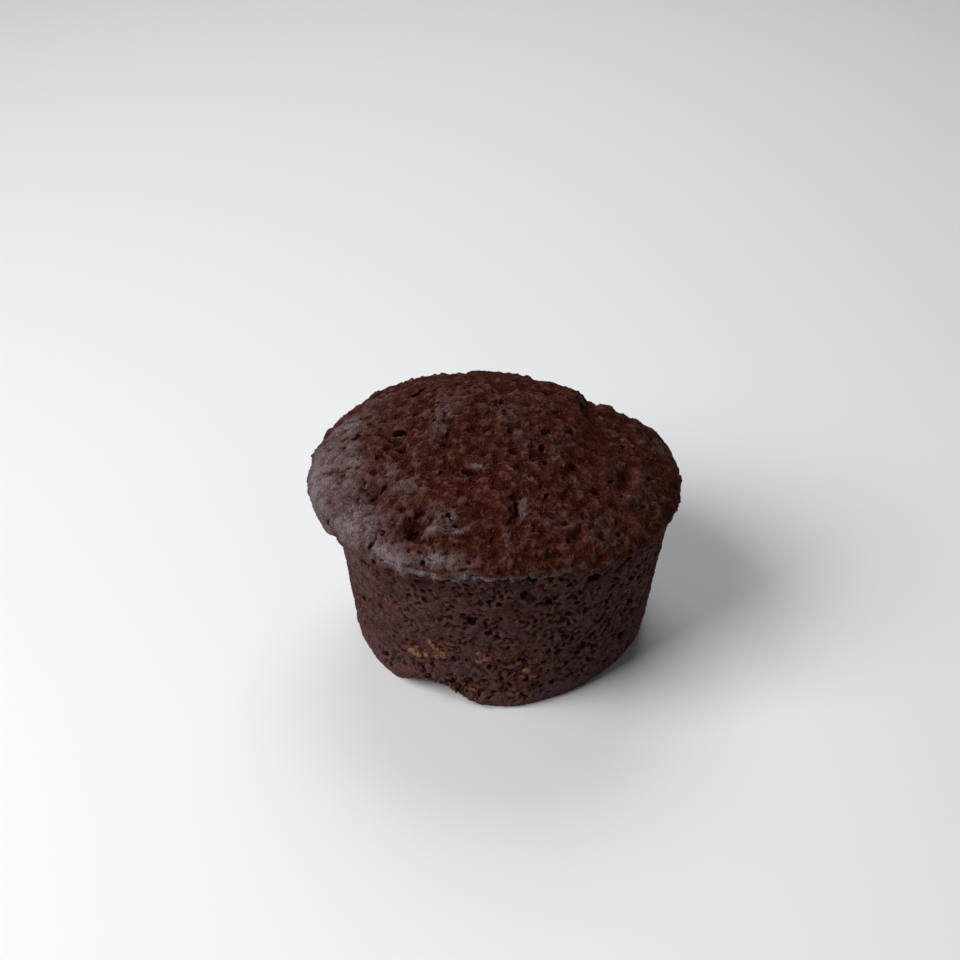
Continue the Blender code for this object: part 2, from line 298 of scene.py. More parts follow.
def bell(distance):
    """1 in the middle, falling smoothly to 0.02 at a distance of 2."""
    return np.exp(-distance * distance)


def spot_distance(points, px, py, half_length, half_height, turn):
    """Distance from a spot on the skin, as a share of the spot's half length and half height."""
    middle, normal = seen_at(solid_tree, px, py)
    along, across = skin_frame(normal, turn)
    offset = points - np.array(middle)
    u = offset @ np.array(along) / (half_length * MM)
    v = offset @ np.array(across) / (half_height * MM)
    w = offset @ np.array(normal) / (max(half_length, half_height) * MM)
    return np.sqrt(u * u + v * v + w * w)


def spots_share(points, spots):
    total = np.zeros(len(points))
    for *spot, share in spots:
        total = np.maximum(total, share * bell(spot_distance(points, *spot)))
    return total


# %% Torn spots, where the side broke off the tin: px, py, half length, half height, turn, share
TORN_SPOTS = (
    (392, 662, 4, 2, -35, 0.8),
    (430, 674, 5, 2, -10, 1),
    (458, 686, 4, 2.4, -30, 1),
    (485, 697, 4, 2, -10, 0.9),
    (525, 694, 6, 1.4, 10, 0.6),
    (372, 638, 1.4, 4, 20, 0.5),
)


def torn_share(points):
    return spots_share(points, TORN_SPOTS) * off_the_base(points)


# %% The shares of both skins, and their vertex groups
DENSE_PATCH_SIZE = 4 * MM
OPEN_MIDDLE = 0.6
OPEN_SPREAD = 1.4
OPEN_LEAST = 0.1
WEIGHT_STEPS = 20


def rough_share(points):
    return 1 - spots_share(points, CALM_SPOTS)


def craggy_share(points):
    return crust_share(points) * rough_share(points)


def noise_at(points, size):
    """A smooth noise about 0 with features of this size."""
    return np.array([noise_of(Vector(p) / size) for p in points])


def open_share(points):
    """The side's share, less in calm spots and where a broad noise says that the crumb stayed dense."""
    side = side_share(points) * rough_share(points)
    near = np.flatnonzero(side > 0)
    patch = noise_at(points[near], DENSE_PATCH_SIZE)
    side[near] *= np.clip(OPEN_MIDDLE + OPEN_SPREAD * patch, OPEN_LEAST, 1)
    return side


def weigh(piece, name, shares):
    """Keeps a share for each point as a vertex group, in steps of a twentieth."""
    group = piece.vertex_groups.new(name=name)
    steps = np.rint(shares * WEIGHT_STEPS).astype(int)
    for step in range(1, WEIGHT_STEPS + 1):
        group.add(np.flatnonzero(steps == step).tolist(), step / WEIGHT_STEPS, "REPLACE")


def weigh_skins(piece):
    points = read_points(piece)
    weigh(piece, "crust", crust_share(points))
    weigh(piece, "craggy", craggy_share(points))
    weigh(piece, "side", side_share(points) * rough_share(points))
    weigh(piece, "open", open_share(points))
    weigh(piece, "torn", torn_share(points))


weigh_skins(cake)
print(f"the crust is {crust_share(read_points(cake)).mean():.0%} of the skin")

# %% [markdown]
# ## Hollows and swells that the photograph shows
#
# Between the solid's large form and the grain there are forms of a few millimetres: the valley that runs
# from the notch at the back down to the right, the raised line left of the crown, the bowls round the
# larger holes. A sculptor would press them in with a soft brush. Here each brush stroke is a bell curve,
# so its place and depth stay readable. The raised line follows a route of a few pixels, and the whole crust
# puffs up by a fraction of a millimetre, because the solid's crust is the floor of its lumps.

# %% Soft strokes: px, py, half length, half height, turn, lift in mm
SOFT_STROKES = (
    # The valley from the notch, and the hollow at its end
    (592, 432, 3, 3.5, -20, -0.4),
    (608, 452, 3, 3, -35, -0.4),
    (627, 478, 1.6, 3.4, 0, -0.4),
    # The shoulder left of the notch, the notch, and the bump right of it
    (568, 395, 5, 4, 0, 1.3),
    (589, 410, 1.6, 3, 0, -0.7),
    (604, 413, 3, 2.6, 0, 1.6),
    (650, 442, 5, 4, -30, -0.8),
    # The foot beside the torn spot and above it, and further right
    (476, 696, 2.6, 1.6, 0, 0.9),
    (377, 642, 3, 3, 0, 0.9),
    (400, 668, 4, 2, 0, 1.2),
    (416, 672, 3, 2, 0, 0.6),
    (432, 674, 4, 2, 0, 1.2),
    (458, 685, 2.4, 2, 0, 1.4),
    (507, 698, 8, 2.2, 0, 0.8),
    (622, 640, 3, 3, 0, 0.5),
    # The lumps beside the valley
    (556, 440, 2, 3, 0, 0.5),
    (556, 461, 1.6, 1.8, 0, 0.5),
    (628, 499, 1.8, 1.2, 0, 0.6),
    (640, 470, 1.6, 4, 0, 0.4),
    (526, 455, 1.4, 2, 0, 0.6),
    (520, 437, 1.6, 1.6, 0, 0.4),
    # The bowls round the pair of holes left of the crown
    (400, 443, 1.8, 2.2, 0, -0.7),
    (376, 493, 4, 1.8, 38, -0.8),
    (475, 416, 2, 3.6, 0, -0.6),
    (476, 549, 2.2, 1.8, 0, -0.5),
    (553, 484, 2.4, 1.6, 0, -0.5),
    (400, 470, 2, 3.5, 20, 0.3),
    # The crater at the front left, and the swells and the dip beside it
    (415, 534, 1.8, 1.6, -20, -0.9),
    (420, 539, 2.4, 1.6, 0, -0.8),
    (405, 524, 1.8, 1.6, 0, 0.5),
    (440, 528, 3.4, 2.4, 10, 0.5),
    (448, 548, 3, 1.2, 0, -0.3),
    # The long dimple on the left lip
    (330, 475, 4.5, 0.8, -5, -0.35),
    # The upright step in front of the crown: a drop on its left, a slope on its right
    (509, 510, 1.6, 3.2, 0, 0.4),
    (518, 510, 1.1, 2.8, 0, -0.5),
    # The groove and the lump at the back left
    (418, 393, 2.4, 0.9, 42, -0.6),
    (428, 414, 1.4, 1.2, 0, 0.7),
    (437, 424, 1.6, 0.9, 40, -0.5),
    (446, 442, 1.2, 2.2, 0, -0.4),
    # The hollow under the lip at the left
    (370, 567, 3, 1.6, -35, -0.4),
)


# %% The raised line left of the crown, and all the lifts
RIDGE_ROUTE = ((443, 392), (440, 410), (437, 428), (424, 438), (420, 452), (418, 466))
RIDGE_HALF_WIDTH = 1.1 * MM
RIDGE_LIFT = 0.8 * MM
CRUST_PUFF = 0.4 * MM


def stroke_lift(points):
    lift = np.zeros(len(points))
    for *spot, height in SOFT_STROKES:
        lift += height * MM * bell(spot_distance(points, *spot))
    return lift


def route_distance(points, route):
    """Distance from a route whose corners are pixels of the photograph."""
    corners = [np.array(seen_at(solid_tree, *corner)[0]) for corner in route]
    nearest = np.full(len(points), np.inf)
    for start, end in zip(corners, corners[1:]):
        run = end - start
        offset = points - start
        share = np.clip(offset @ run / (run @ run), 0, 1)
        nearest = np.minimum(nearest, np.linalg.norm(offset - share[:, None] * run, axis=1))
    return nearest


def ridge_share(points):
    return bell(route_distance(points, RIDGE_ROUTE) / RIDGE_HALF_WIDTH)


points = read_points(cake)
lift = stroke_lift(points) + RIDGE_LIFT * ridge_share(points) + CRUST_PUFF * crust_share(points)
write_points(cake, points + read_normals(cake) * lift[:, None])
print(f"the strokes lift by {lift.max() / MM:.1f} mm and sink by {-lift.min() / MM:.1f} mm at most")

# %% [markdown]
# ## The crust's lumps
#
# The batter rose unevenly and its skin tore as it set. Sculpting brushes would need a hand for every
# lump, so Displace modifiers do it: each moves the skin along its normals by a texture of one lump size.
# Clouds give soft lumps. A Voronoi texture that sinks gives clods, round and close together, and hard
# clouds give the creases of crumb that was torn.

# %% Three kinds of relief
CREASED_LEVEL = 0.3
CLOD_LEVEL = 0.35


def displace(piece, group, kind, size, height, level=0.5, stops=(), **settings):
    """Moves the skin in and out by a texture with features of this size.

    The texture's value level stays put, and an empty group means the whole piece.
    """
    texture = bpy.data.textures.new(f"{kind.lower()}_{size / MM:.1f}", kind)
    texture.noise_scale = size
    if stops:
        texture.use_color_ramp = True
        for stop, (position, value) in zip(texture.color_ramp.elements, stops):
            stop.position = position
            stop.color = (value, value, value, 1.0)
    for name, value in settings.items():
        setattr(texture, name, value)
    shape_with(piece, "DISPLACE", texture=texture, texture_coords="LOCAL", strength=height,
               mid_level=level, vertex_group=group)


def lumps(piece, group, size, height, detail=1):
    displace(piece, group, "CLOUDS", size, height, noise_type="SOFT_NOISE", noise_depth=detail)


def clods(piece, group, size, height):
    displace(piece, group, "VORONOI", size, -height, level=CLOD_LEVEL)


def creases(piece, group, size, height):
    displace(piece, group, "CLOUDS", size, height, level=CREASED_LEVEL, noise_type="HARD_NOISE")


# %% Lumps and clods, large to small
lumps(cake, "craggy", 4.0 * MM, 2.0 * MM)
clods(cake, "craggy", 2.8 * MM, 0.75 * MM)
clods(cake, "craggy", 1.7 * MM, 0.35 * MM)
lumps(cake, "craggy", 1.8 * MM, 0.9 * MM)
lumps(cake, "side", 2.4 * MM, 0.6 * MM, detail=2)
creases(cake, "torn", 1.4 * MM, 1.7 * MM)
print(f"the cake is now {max(read_points(cake)[:, 2]) / MM:.1f} mm high")

# %% [markdown]
# ## Holes that the photograph shows
#
# Bubbles broke the crust and the side, and each left a hole with a crisp rim and a dark inside. A hole
# could be pushed in by moving points, but its walls would then be stretched. Cutting with a Boolean gives
# clean walls, so one rough ball is modelled, copied to every place, and the copies are cut away.

# %% The ball that cuts a hole
def rough_ball(name, rounds, roughness, seed):
    """A ball of radius 1 from an icosphere of this many rounds, with its points moved by chance."""
    bpy.ops.object.select_all(action="DESELECT")
    bpy.ops.mesh.primitive_ico_sphere_add(subdivisions=rounds, radius=1.0)
    made = bpy.context.object
    made.name = name
    bpy.ops.object.mode_set(mode="EDIT")
    bpy.ops.mesh.select_all(action="SELECT")
    bpy.ops.transform.vertex_random(offset=roughness, seed=seed)
    bpy.ops.object.mode_set(mode="OBJECT")
    print(f"the {name} has {len(made.data.polygons)} faces")
    return made


ball = rough_ball("bubble", 2, 0.22, seed=3)


# %% The cut
def cut_away(piece, cutter):
    """Cuts one object out of another and removes the cutter."""
    before = len(piece.data.polygons)
    shape_with(piece, "BOOLEAN", operation="DIFFERENCE", solver="MANIFOLD", object=cutter)
    print(f"cutting {cutter.name} took the skin from {before} to {len(piece.data.polygons)} faces")
    bpy.data.objects.remove(cutter)


# %% Many copies in one mesh
def many(piece, places, name):
    """One object with a copy of a piece's mesh at each place, which is a 4 x 4 matrix."""
    points = np.column_stack((read_points(piece), np.ones(len(piece.data.vertices))))
    corners = np.array([face.vertices[:] for face in piece.data.polygons])
    all_points = np.concatenate([points @ np.array(place).T[:, :3] for place in places])
    all_corners = np.concatenate([corners + i * len(points) for i in range(len(places))])
    mesh = bpy.data.meshes.new(name)
    mesh.from_pydata(all_points.tolist(), [], all_corners.tolist())
    made = bpy.data.objects.new(name, mesh)
    bpy.context.scene.collection.objects.link(made)
    return made


def place_on(point, normal, half_sizes, turn, sink):
    """The matrix that seats a unit piece on the skin: its X along it and its Z along the normal."""
    along, across = skin_frame(normal, turn)
    facing = Matrix((along, across, normal)).transposed().to_4x4()
    return Matrix.Translation(point - normal * sink) @ facing @ Matrix.Diagonal((*half_sizes, 1.0))


# %% [markdown]
# Some of the holes are groups of bubbles that ran together, such as the crater at the front left. Their
# balls overlap, so a fine Remesh first unites them into one clean cutter.

# %% The named holes: px, py, half length, half height and depth in mm, turn
HOLES = (
    # The pair left of the crown, and the slit near the lip
    (398, 433, 1.6, 1.1, 3, -8),
    (401, 448, 1.4, 1.1, 2.5, 10),
    (397, 445, 0.7, 0.8, 0.6, 0),
    (354, 437, 1.6, 1, 2.2, -10),
    (359, 436, 0.8, 0.4, 0.6, 15),
    # The slit in the middle, under its pale flake
    (468, 472, 1.7, 0.9, 2.2, -18),
    (474, 474, 1, 0.5, 0.8, -25),
    (463, 469, 0.7, 0.6, 0.8, -10),
    # The crater at the front left
    (415, 536, 1.4, 0.9, 0.8, 35),
    (422, 542, 0.8, 0.5, 0.6, 0),
    (449, 516, 0.7, 0.9, 0.7, 30),
    (456, 526, 0.6, 0.6, 0.7, 0),
    (452, 521, 0.5, 0.5, 0.6, 0),
    (445, 536, 0.6, 0.5, 0.5, 0),
    (402, 509, 0.9, 0.6, 0.6, 0),
    # Pits in the front left lip
    (423, 564, 0.6, 0.9, 0.8, 10),
    (430, 559, 0.7, 0.6, 0.6, 0),
    (463, 571, 1, 0.6, 0.6, 0),
    (382, 533, 0.8, 0.7, 0.8, 20),
    (375, 538, 0.5, 1.3, 0.9, -20),
    (371, 546, 0.5, 1.2, 0.8, -30),
    (374, 555, 0.4, 0.4, 0.6, 0),
    (364, 563, 0.7, 0.5, 0.6, 0),
    (371, 568, 0.9, 0.5, 0.6, -30),
    (378, 574, 0.7, 0.5, 0.6, -30),
    (328, 523, 0.7, 0.7, 0.7, 0),
    (325, 473, 0.9, 0.6, 0.5, -10),
    # The slit along the long hollow left of the front
    (383, 490, 1.5, 0.5, 0.9, 42),
    (375, 499, 1.3, 0.4, 0.8, 42),
    (420, 484, 0.5, 1, 0.7, 0),
    # The back left
    (416, 395, 1.5, 0.7, 1.2, 42),
    (423, 389, 1.3, 0.7, 1.2, 42),
    (434, 398, 0.6, 0.8, 0.8, 0),
    (416, 415, 0.6, 0.6, 0.6, 0),
    (434, 421, 1.3, 0.7, 1.2, 35),
    (466, 377, 0.8, 1, 0.8, 0),
    (448, 436, 0.6, 0.9, 0.6, 0),
    (450, 446, 0.6, 0.7, 0.6, 0),
    (381, 422, 0.7, 0.8, 0.5, 0),
    (377, 458, 0.6, 0.5, 0.4, -20),
    # The crown
    (502, 402, 0.6, 0.7, 0.7, 0),
    (511, 430, 0.8, 1.1, 0.8, 0),
    (547, 436, 0.9, 0.7, 1.2, 0),
    (543, 448, 0.8, 1.1, 1.3, 0),
    (545, 462, 0.6, 0.9, 1, 0),
    (571, 432, 0.8, 0.6, 0.8, 0),
    # The right of the crown
    (574, 468, 0.8, 0.8, 0.8, 0),
    (600, 471, 0.5, 0.5, 0.6, 0),
    (596, 493, 0.9, 0.6, 0.6, 0),
    (623, 446, 0.7, 0.6, 0.8, 0),
    (651, 446, 0.6, 0.6, 0.5, 0),
    # The front right
    (569, 541, 0.7, 0.7, 0.8, 0),
    (565, 524, 1, 0.4, 0.6, 5),
    (619, 534, 0.7, 0.7, 0.8, 0),
    (644, 507, 0.6, 0.5, 0.6, 0),
    # The upright crack in front of the crown
    (516, 504, 0.4, 1, 0.9, 0),
    (517, 512, 0.5, 1.1, 1.2, 0),
    # The side, under the lip
    (531, 580, 1, 0.6, 0.8, -30),
    (540, 605, 1.2, 0.6, 0.7, 15),
    (557, 597, 0.9, 0.5, 0.7, 20),
    (549, 578, 1, 0.5, 0.7, 0),
    (527, 597, 1.4, 0.9, 0.7, 0),
    (532, 601, 1.3, 0.9, 0.7, -10),
    (524, 596, 0.8, 0.6, 0.8, 0),
    (549, 603, 1, 0.9, 1, 0),
    (546, 599, 0.7, 0.6, 0.7, 0),
    (570, 585, 0.9, 0.5, 0.6, 20),
    (579, 572, 0.5, 0.6, 0.6, 0),
    (593, 579, 1.6, 0.7, 1, 0),
    (588, 583, 0.7, 0.6, 0.7, 0),
    # The side, left
    (382, 608, 0.7, 0.9, 0.7, -20),
    (379, 606, 0.6, 0.4, 0.6, 10),
    (394, 584, 0.9, 0.4, 0.6, 0),
    (409, 596, 0.7, 0.8, 0.5, 0),
    (425, 602, 0.6, 0.7, 0.7, 0),
    (424, 593, 0.5, 0.5, 0.6, 0),
    (436, 600, 0.5, 0.7, 0.6, 0),
    (443, 588, 0.5, 0.5, 0.5, 0),
    (383, 621, 0.4, 0.4, 0.5, 0),
    (410, 641, 1, 0.3, 0.5, -20),
    (404, 664, 0.6, 0.6, 0.6, -20),
    # The side, middle
    (472, 622, 1, 1.1, 1, 20),
    (468, 618, 0.6, 0.6, 0.7, 0),
    (489, 634, 1, 0.7, 0.8, -10),
    (498, 638, 0.7, 0.6, 0.7, -40),
    (470, 595, 0.7, 0.5, 0.7, -20),
    (487, 586, 0.6, 0.4, 0.5, 0),
    (499, 593, 0.7, 0.6, 0.7, 0),
    (489, 603, 0.6, 0.8, 0.7, 0),
    (501, 620, 0.5, 0.8, 0.7, 0),
    (517, 612, 0.8, 0.5, 0.7, 20),
    (500, 662, 1.1, 0.5, 0.6, -25),
    (519, 660, 0.6, 0.6, 0.6, 0),
    (536, 622, 0.6, 0.6, 0.6, 0),
    # The side, low
    (453, 684, 0.6, 0.9, 0.8, 15),
    (465, 681, 0.8, 0.6, 0.5, 0),
    (485, 681, 0.8, 0.9, 0.8, -30),
    (450, 675, 0.6, 0.5, 0.5, 0),
    (494, 693, 0.6, 0.6, 0.7, 0),
    (508, 686, 0.9, 1, 0.7, 0),
    (476, 691, 0.6, 0.5, 0.5, 0),
    (526, 680, 0.7, 0.5, 0.6, 0),
    (523, 694, 0.8, 0.5, 0.6, 0),
    # The side, right
    (587, 611, 1.1, 0.7, 0.9, 40),
    (592, 608, 0.8, 0.5, 0.6, 15),
    (563, 622, 1, 0.5, 0.7, 10),
    (597, 620, 0.4, 0.8, 0.6, 0),
    (609, 620, 0.7, 1, 0.5, 15),
    (592, 634, 1.5, 0.7, 0.5, 45),
    (582, 647, 1.5, 0.8, 0.6, 50),
    (603, 634, 0.7, 0.9, 0.6, -20),
    (549, 653, 0.6, 1.3, 0.7, 0),
    (601, 656, 1, 0.4, 0.6, 15),
    (590, 660, 0.8, 0.7, 0.6, 0),
    (568, 663, 0.9, 0.5, 0.7, 30),
    (570, 675, 1.3, 0.7, 0.7, 0),
    (553, 682, 0.6, 0.9, 0.7, 0),
    (607, 604, 0.6, 1.2, 0.7, 10),
    (625, 612, 0.7, 1.5, 0.7, 10),
    (616, 580, 0.9, 0.5, 0.7, 45),
    (629, 583, 1.3, 0.5, 0.7, 50),
    (613, 592, 1.3, 0.4, 0.6, 45),
    (622, 639, 0.5, 0.8, 0.5, 0),
)

HOLE_SINK = 0.1
CUTTER_STEP = 0.15 * MM

skin = skin_tree(cake)
places = []
for px, py, half_length, half_height, depth, turn in HOLES:
    point, normal = seen_at(skin, px, py)
    half_sizes = (half_length * MM, half_height * MM, depth * MM)
    places.append(place_on(point, normal, half_sizes, turn, HOLE_SINK * depth * MM))
holes = many(ball, places, "named_holes")
print(f"{len(places)} named holes")
remesh(holes, CUTTER_STEP)
cut_away(cake, holes)

# %% [markdown]
# ## Pores by chance
#
# The rest of the pores are scattered. A ray leaves the cake's middle in a chance direction, and where it
# leaves the skin there may be a pore. Far and slanting places are met by fewer rays, so a place is kept
# by a chance that makes up for it. A pore is seldom round: each is one to three bubbles side by side, and
# on the cake's right, where the batter slid along the tin, they are drawn out and slanted.

# %% Scatter the pores
SEED = 20
RAY_START = Vector((0, 0, 28 * MM))
SIDE_PORES = 1800
CRUST_PORES = 90
PORE_RADIUS = (0.24 * MM, 0.8 * MM)
SMALL_PORES = 4
BUBBLES_IN_A_PORE = (1, 2, 2, 3)
SLANT_AZIMUTH = 322
SLANT_SPREAD = 26
SLANT_TURN = 55
STRAIGHT_SIDE_CHANCE = 0.4
LOWEST_PLACE = 1.0 * MM
FULL_REACH = 60 * MM
LEAST_FACING = 0.2

draw = random.Random(SEED)


def chance_place(tree):
    """A place on the skin, each square millimetre with the same chance."""
    while True:
        rise = draw.uniform(-1, 1)
        turn = draw.uniform(0, 2 * math.pi)
        flat = math.sqrt(1 - rise * rise)
        direction = Vector((flat * math.cos(turn), flat * math.sin(turn), rise))
        point, normal, _, reach = tree.ray_cast(RAY_START, direction)
        if point is None or point.z < LOWEST_PLACE:
            continue
        area_seen = reach * reach / max(normal.dot(direction), LEAST_FACING)
        if draw.random() < area_seen / FULL_REACH ** 2:
            return point, normal


def scatter(tree, count, chance_of):
    """Chance places, each kept by the chance that chance_of gives for its point."""
    found = []
    while len(found) < count:
        point, normal = chance_place(tree)
        if draw.random() < chance_of(point):
            found.append((point, normal))
    return found


def crust_chance(point):
    return crust_share(np.array([point]))[0]


def slant_at(point):
    """How much a pore here is drawn out and slanted, from 0 to 1."""
    azimuth = azimuth_of(np.array([point]))
    return float(bell(away_from(azimuth, SLANT_AZIMUTH) / SLANT_SPREAD)[0])


def side_chance(point):
    evenly = STRAIGHT_SIDE_CHANCE
    return (1 - crust_chance(point)) * (evenly + (1 - evenly) * slant_at(point))


def chance_radius(small, large, small_ones):
    """A radius from small to large; the higher small_ones is, the more of them are small."""
    return small + (large - small) * draw.random() ** small_ones


# %% Each pore is a few bubbles side by side
FREE_TURN = 60
SLANTED_HOLD = 0.7
SLANTED_SIZE = 0.4
SLANTED_LENGTH = 0.8
SLANTED_NARROWNESS = 0.4
BUBBLE_WIDTH = (0.5, 0.95)
BUBBLE_DEPTH = (0.6, 1.1)
BUBBLE_SINK = 0.15
NEXT_ALONG = 0.9
NEXT_ACROSS = 0.8
NEXT_SIZE = (0.6, 0.9)

skin = skin_tree(cake)
places = []
for point, normal in (scatter(skin, SIDE_PORES, side_chance)
                      + scatter(skin, CRUST_PORES, crust_chance)):
    slant = slant_at(point)
    radius = chance_radius(*PORE_RADIUS, SMALL_PORES) * (1 + SLANTED_SIZE * slant)
    turn = SLANT_TURN * slant + draw.uniform(-FREE_TURN, FREE_TURN) * (1 - SLANTED_HOLD * slant)
    for _ in range(draw.choice(BUBBLES_IN_A_PORE)):
        half_length = radius * (1 + SLANTED_LENGTH * slant)
        half_width = radius * (draw.uniform(*BUBBLE_WIDTH) * (1 - SLANTED_NARROWNESS * slant))
        half_sizes = (half_length, half_width, radius * draw.uniform(*BUBBLE_DEPTH))
        places.append(place_on(point, normal, half_sizes, turn, BUBBLE_SINK * radius))
        along, across = skin_frame(normal, turn)
        along *= draw.uniform(-NEXT_ALONG, NEXT_ALONG)
        across *= draw.uniform(-NEXT_ACROSS, NEXT_ACROSS)
        point = point + radius * (along + across)
        radius *= draw.uniform(*NEXT_SIZE)
pores = many(ball, places, "chance_pores")
print(f"{len(places)} bubbles in {SIDE_PORES + CRUST_PORES} pores")
remesh(pores, CUTTER_STEP)
cut_away(cake, pores)

# %% [markdown]
# ## The fine skin
#
# Cutting leaves long thin faces, and the flakes and the grain need even, small ones. A fine voxel Remesh
# gives both skins faces of about a fifth of a millimetre. It drops the vertex groups, so the shares are
# weighed again.

# %% Remesh finely
FINE_STEP = 0.22 * MM

remesh(cake, FINE_STEP)
cake.vertex_groups.clear()
weigh_skins(cake)
print(f"{len(cake.data.vertices)} points in the fine skin")

# %% [markdown]
# ## Flakes and the ledge
#
# Where the crust lifted it left thin flakes with a sharp edge. Batter that set against the tin's edge
# stands out as a narrow ledge under the lip in front. These are low and ragged, and no modifier has a mask
# for them, so here the points are moved by a formula: each flake is an oval whose edge a noise makes
# uneven.

# %% Flakes: px, py, half length, half height, turn, lift in mm
FLAKES = (
    (427, 518, 1, 0.8, 60, 0.5),
    (442, 523, 1.9, 1, 10, 0.6),
    (432, 537, 1.8, 0.7, 5, 0.6),
    (455, 514, 0.6, 1.7, 35, 0.5),
    (455, 533, 1.4, 0.6, 10, 0.4),
    (478, 467, 1.6, 0.6, -15, 0.7),
    (389, 558, 2.2, 0.8, -5, 0.4),
    (438, 558, 2, 0.8, -20, 0.5),
    (424, 573, 1.8, 0.6, 5, 0.4),
    (444, 575, 1, 0.6, 0, 0.4),
    (456, 567, 0.6, 0.9, 20, 0.4),
    (468, 576, 0.9, 0.7, 30, 0.4),
    (428, 412, 1.3, 1.3, 30, 0.5),
    (511, 471, 1.3, 0.5, -30, 0.4),
    (528, 478, 2.4, 0.5, -35, 0.4),
    (508, 540, 0.9, 1.8, 0, 0.4),
    (505, 556, 1, 0.9, 0, 0.35),
    (524, 509, 0.8, 2.2, 0, 0.5),
    (553, 442, 0.9, 1.7, 15, 0.4),
    (556, 460, 1.6, 0.9, 10, 0.4),
    (525, 456, 1.1, 1.3, 0, 0.4),
    (533, 410, 1.8, 0.9, 10, 0.4),
    (497, 412, 1.6, 1.2, 0, 0.3),
    (622, 441, 0.8, 0.7, 0, 0.4),
    (628, 499, 1.2, 0.8, -10, 0.4),
    (580, 485, 1.5, 1, 0, 0.3),
    (560, 529, 1.6, 0.5, 5, 0.3),
    (592, 540, 1.1, 1, 0, 0.3),
    (350, 461, 2.2, 1.6, 70, 0.3),
    (345, 468, 1.4, 1, 0, 0.3),
    (391, 459, 0.5, 2.8, 25, 0.4),
    (558, 600, 1.1, 0.3, 25, 0.4),
)

# %% Flakes with ragged edges, and the ledge along the lip's lower edge in front
FLAKE_REACH = 2
FLAKE_EDGE = (1.2, 0.6)
FLAKE_HEIGHT = 0.7
RAGGED_SIZE = 0.7 * MM
RAGGED_SHARE = 0.9
LEDGE_AZIMUTH = 264
LEDGE_SPREAD = 20
LEDGE_HALF_HEIGHT = 0.5 * MM
LEDGE_LIFT = 0.45 * MM
LEDGE_MIDDLE = 0.6
LEDGE_UNEVEN = 3
LEDGE_LEAST = 0.02
LEDGE_MOST = 1.5


def flake_lift(points):
    lift = np.zeros(len(points))
    for *spot, height in FLAKES:
        distance = spot_distance(points, *spot)
        near = np.flatnonzero(distance < FLAKE_REACH)
        edge = distance[near] + RAGGED_SHARE * noise_at(points[near], RAGGED_SIZE)
        lift[near] = np.maximum(lift[near], FLAKE_HEIGHT * height * MM * smooth_step(edge, *FLAKE_EDGE))
    return lift


def ledge_share(points):
    azimuth = azimuth_of(points)
    above = points[:, 2] - edge_height(azimuth)
    share = bell(above / LEDGE_HALF_HEIGHT) * bell(away_from(azimuth, LEDGE_AZIMUTH) / LEDGE_SPREAD)
    near = np.flatnonzero(share > LEDGE_LEAST)
    uneven = LEDGE_UNEVEN * noise_at(points[near], RAGGED_SIZE)
    share[near] *= np.clip(LEDGE_MIDDLE + uneven, 0, LEDGE_MOST)
    return share


points = read_points(cake)
lift = flake_lift(points) + LEDGE_LIFT * ledge_share(points)
write_points(cake, points + read_normals(cake) * lift[:, None])
print(f"flakes and the ledge lift {np.count_nonzero(lift > 0.1 * MM)} points")

# %% [markdown]
# ## Grain and pits
#
# Last comes the finest relief: a soft grain on the crust, and creases and small clods on the side. A colour
# ramp on a texture cuts its lowest values off as pits with steep walls, which no plain noise has. Those are
# the many small pores that are too ragged to be bubbles.

# %% Grain on the crust, pits and crumb on the side
PIT_WALL = 0.2


def pits(piece, group, size, depth, coverage, detail=1):
    """Presses ragged pits into the skin where a noise is below the coverage value."""
    stops = ((coverage, 0.0), (coverage + PIT_WALL, 1.0))
    displace(piece, group, "CLOUDS", size, depth, level=1.0, stops=stops,
             noise_type="SOFT_NOISE", noise_depth=detail)


lumps(cake, "crust", 0.6 * MM, 0.22 * MM)
creases(cake, "side", 0.8 * MM, 0.18 * MM)
clods(cake, "side", 0.85 * MM, 0.22 * MM)
pits(cake, "open", 1.1 * MM, 0.5 * MM, 0.36, detail=0)
pits(cake, "torn", 1.1 * MM, 0.6 * MM, 0.40)
pits(cake, "craggy", 1.4 * MM, 0.3 * MM, 0.25)

solid_gaps = []
for point in read_points(cake)[::50]:
    near, normal, _, _ = solid_tree.find_nearest(point)
    solid_gaps.append(normal.dot(Vector(point) - near))
print(f"the skin lies {np.mean(solid_gaps) / MM:.2f} mm outside the solid on average")

# %% Flatten the base, and thin out the faces
FLAT_BAND = 0.4 * MM
FACES_KEPT = 195000

points = read_points(cake)
points[:, 2] = np.where(points[:, 2] < FLAT_BAND, 0.0, points[:, 2])
write_points(cake, points)
triangles = 2 * len(cake.data.polygons)
shape_with(cake, "DECIMATE", ratio=min(1.0, FACES_KEPT / triangles))
only(cake)
bpy.ops.object.shade_smooth()
cake.data.calc_loop_triangles()
print(f"{triangles} triangles thinned out to {len(cake.data.loop_triangles)}")

# %% [markdown]
# ## Proud and sunk
#
# Dry crumbs and painted highlights go on what stands proud, and what lies low is painted dark, partly as
# moist crumb and partly as shade. To know which is which, a copy of the cake is smoothed: where the cake
# lies outside its smooth copy it is proud, and where it lies inside it is sunk. A lightly smoothed copy
# shows the grain and a strongly smoothed one the lumps, and both distances are kept as attributes of the
# mesh, for the material to read.

# %% Compare the cake with smooth copies
GRAIN_ROUNDS = 10
GRAIN_RANGE = 0.25 * MM
LUMP_ROUNDS = 90
LUMP_RANGE = 0.7 * MM


def keep(piece, name, values):
    """Keeps a value for each point as an attribute that materials can read."""
    layer = piece.data.attributes.new(name, "FLOAT", "POINT")
    layer.data.foreach_set("value", values.astype(np.float32))


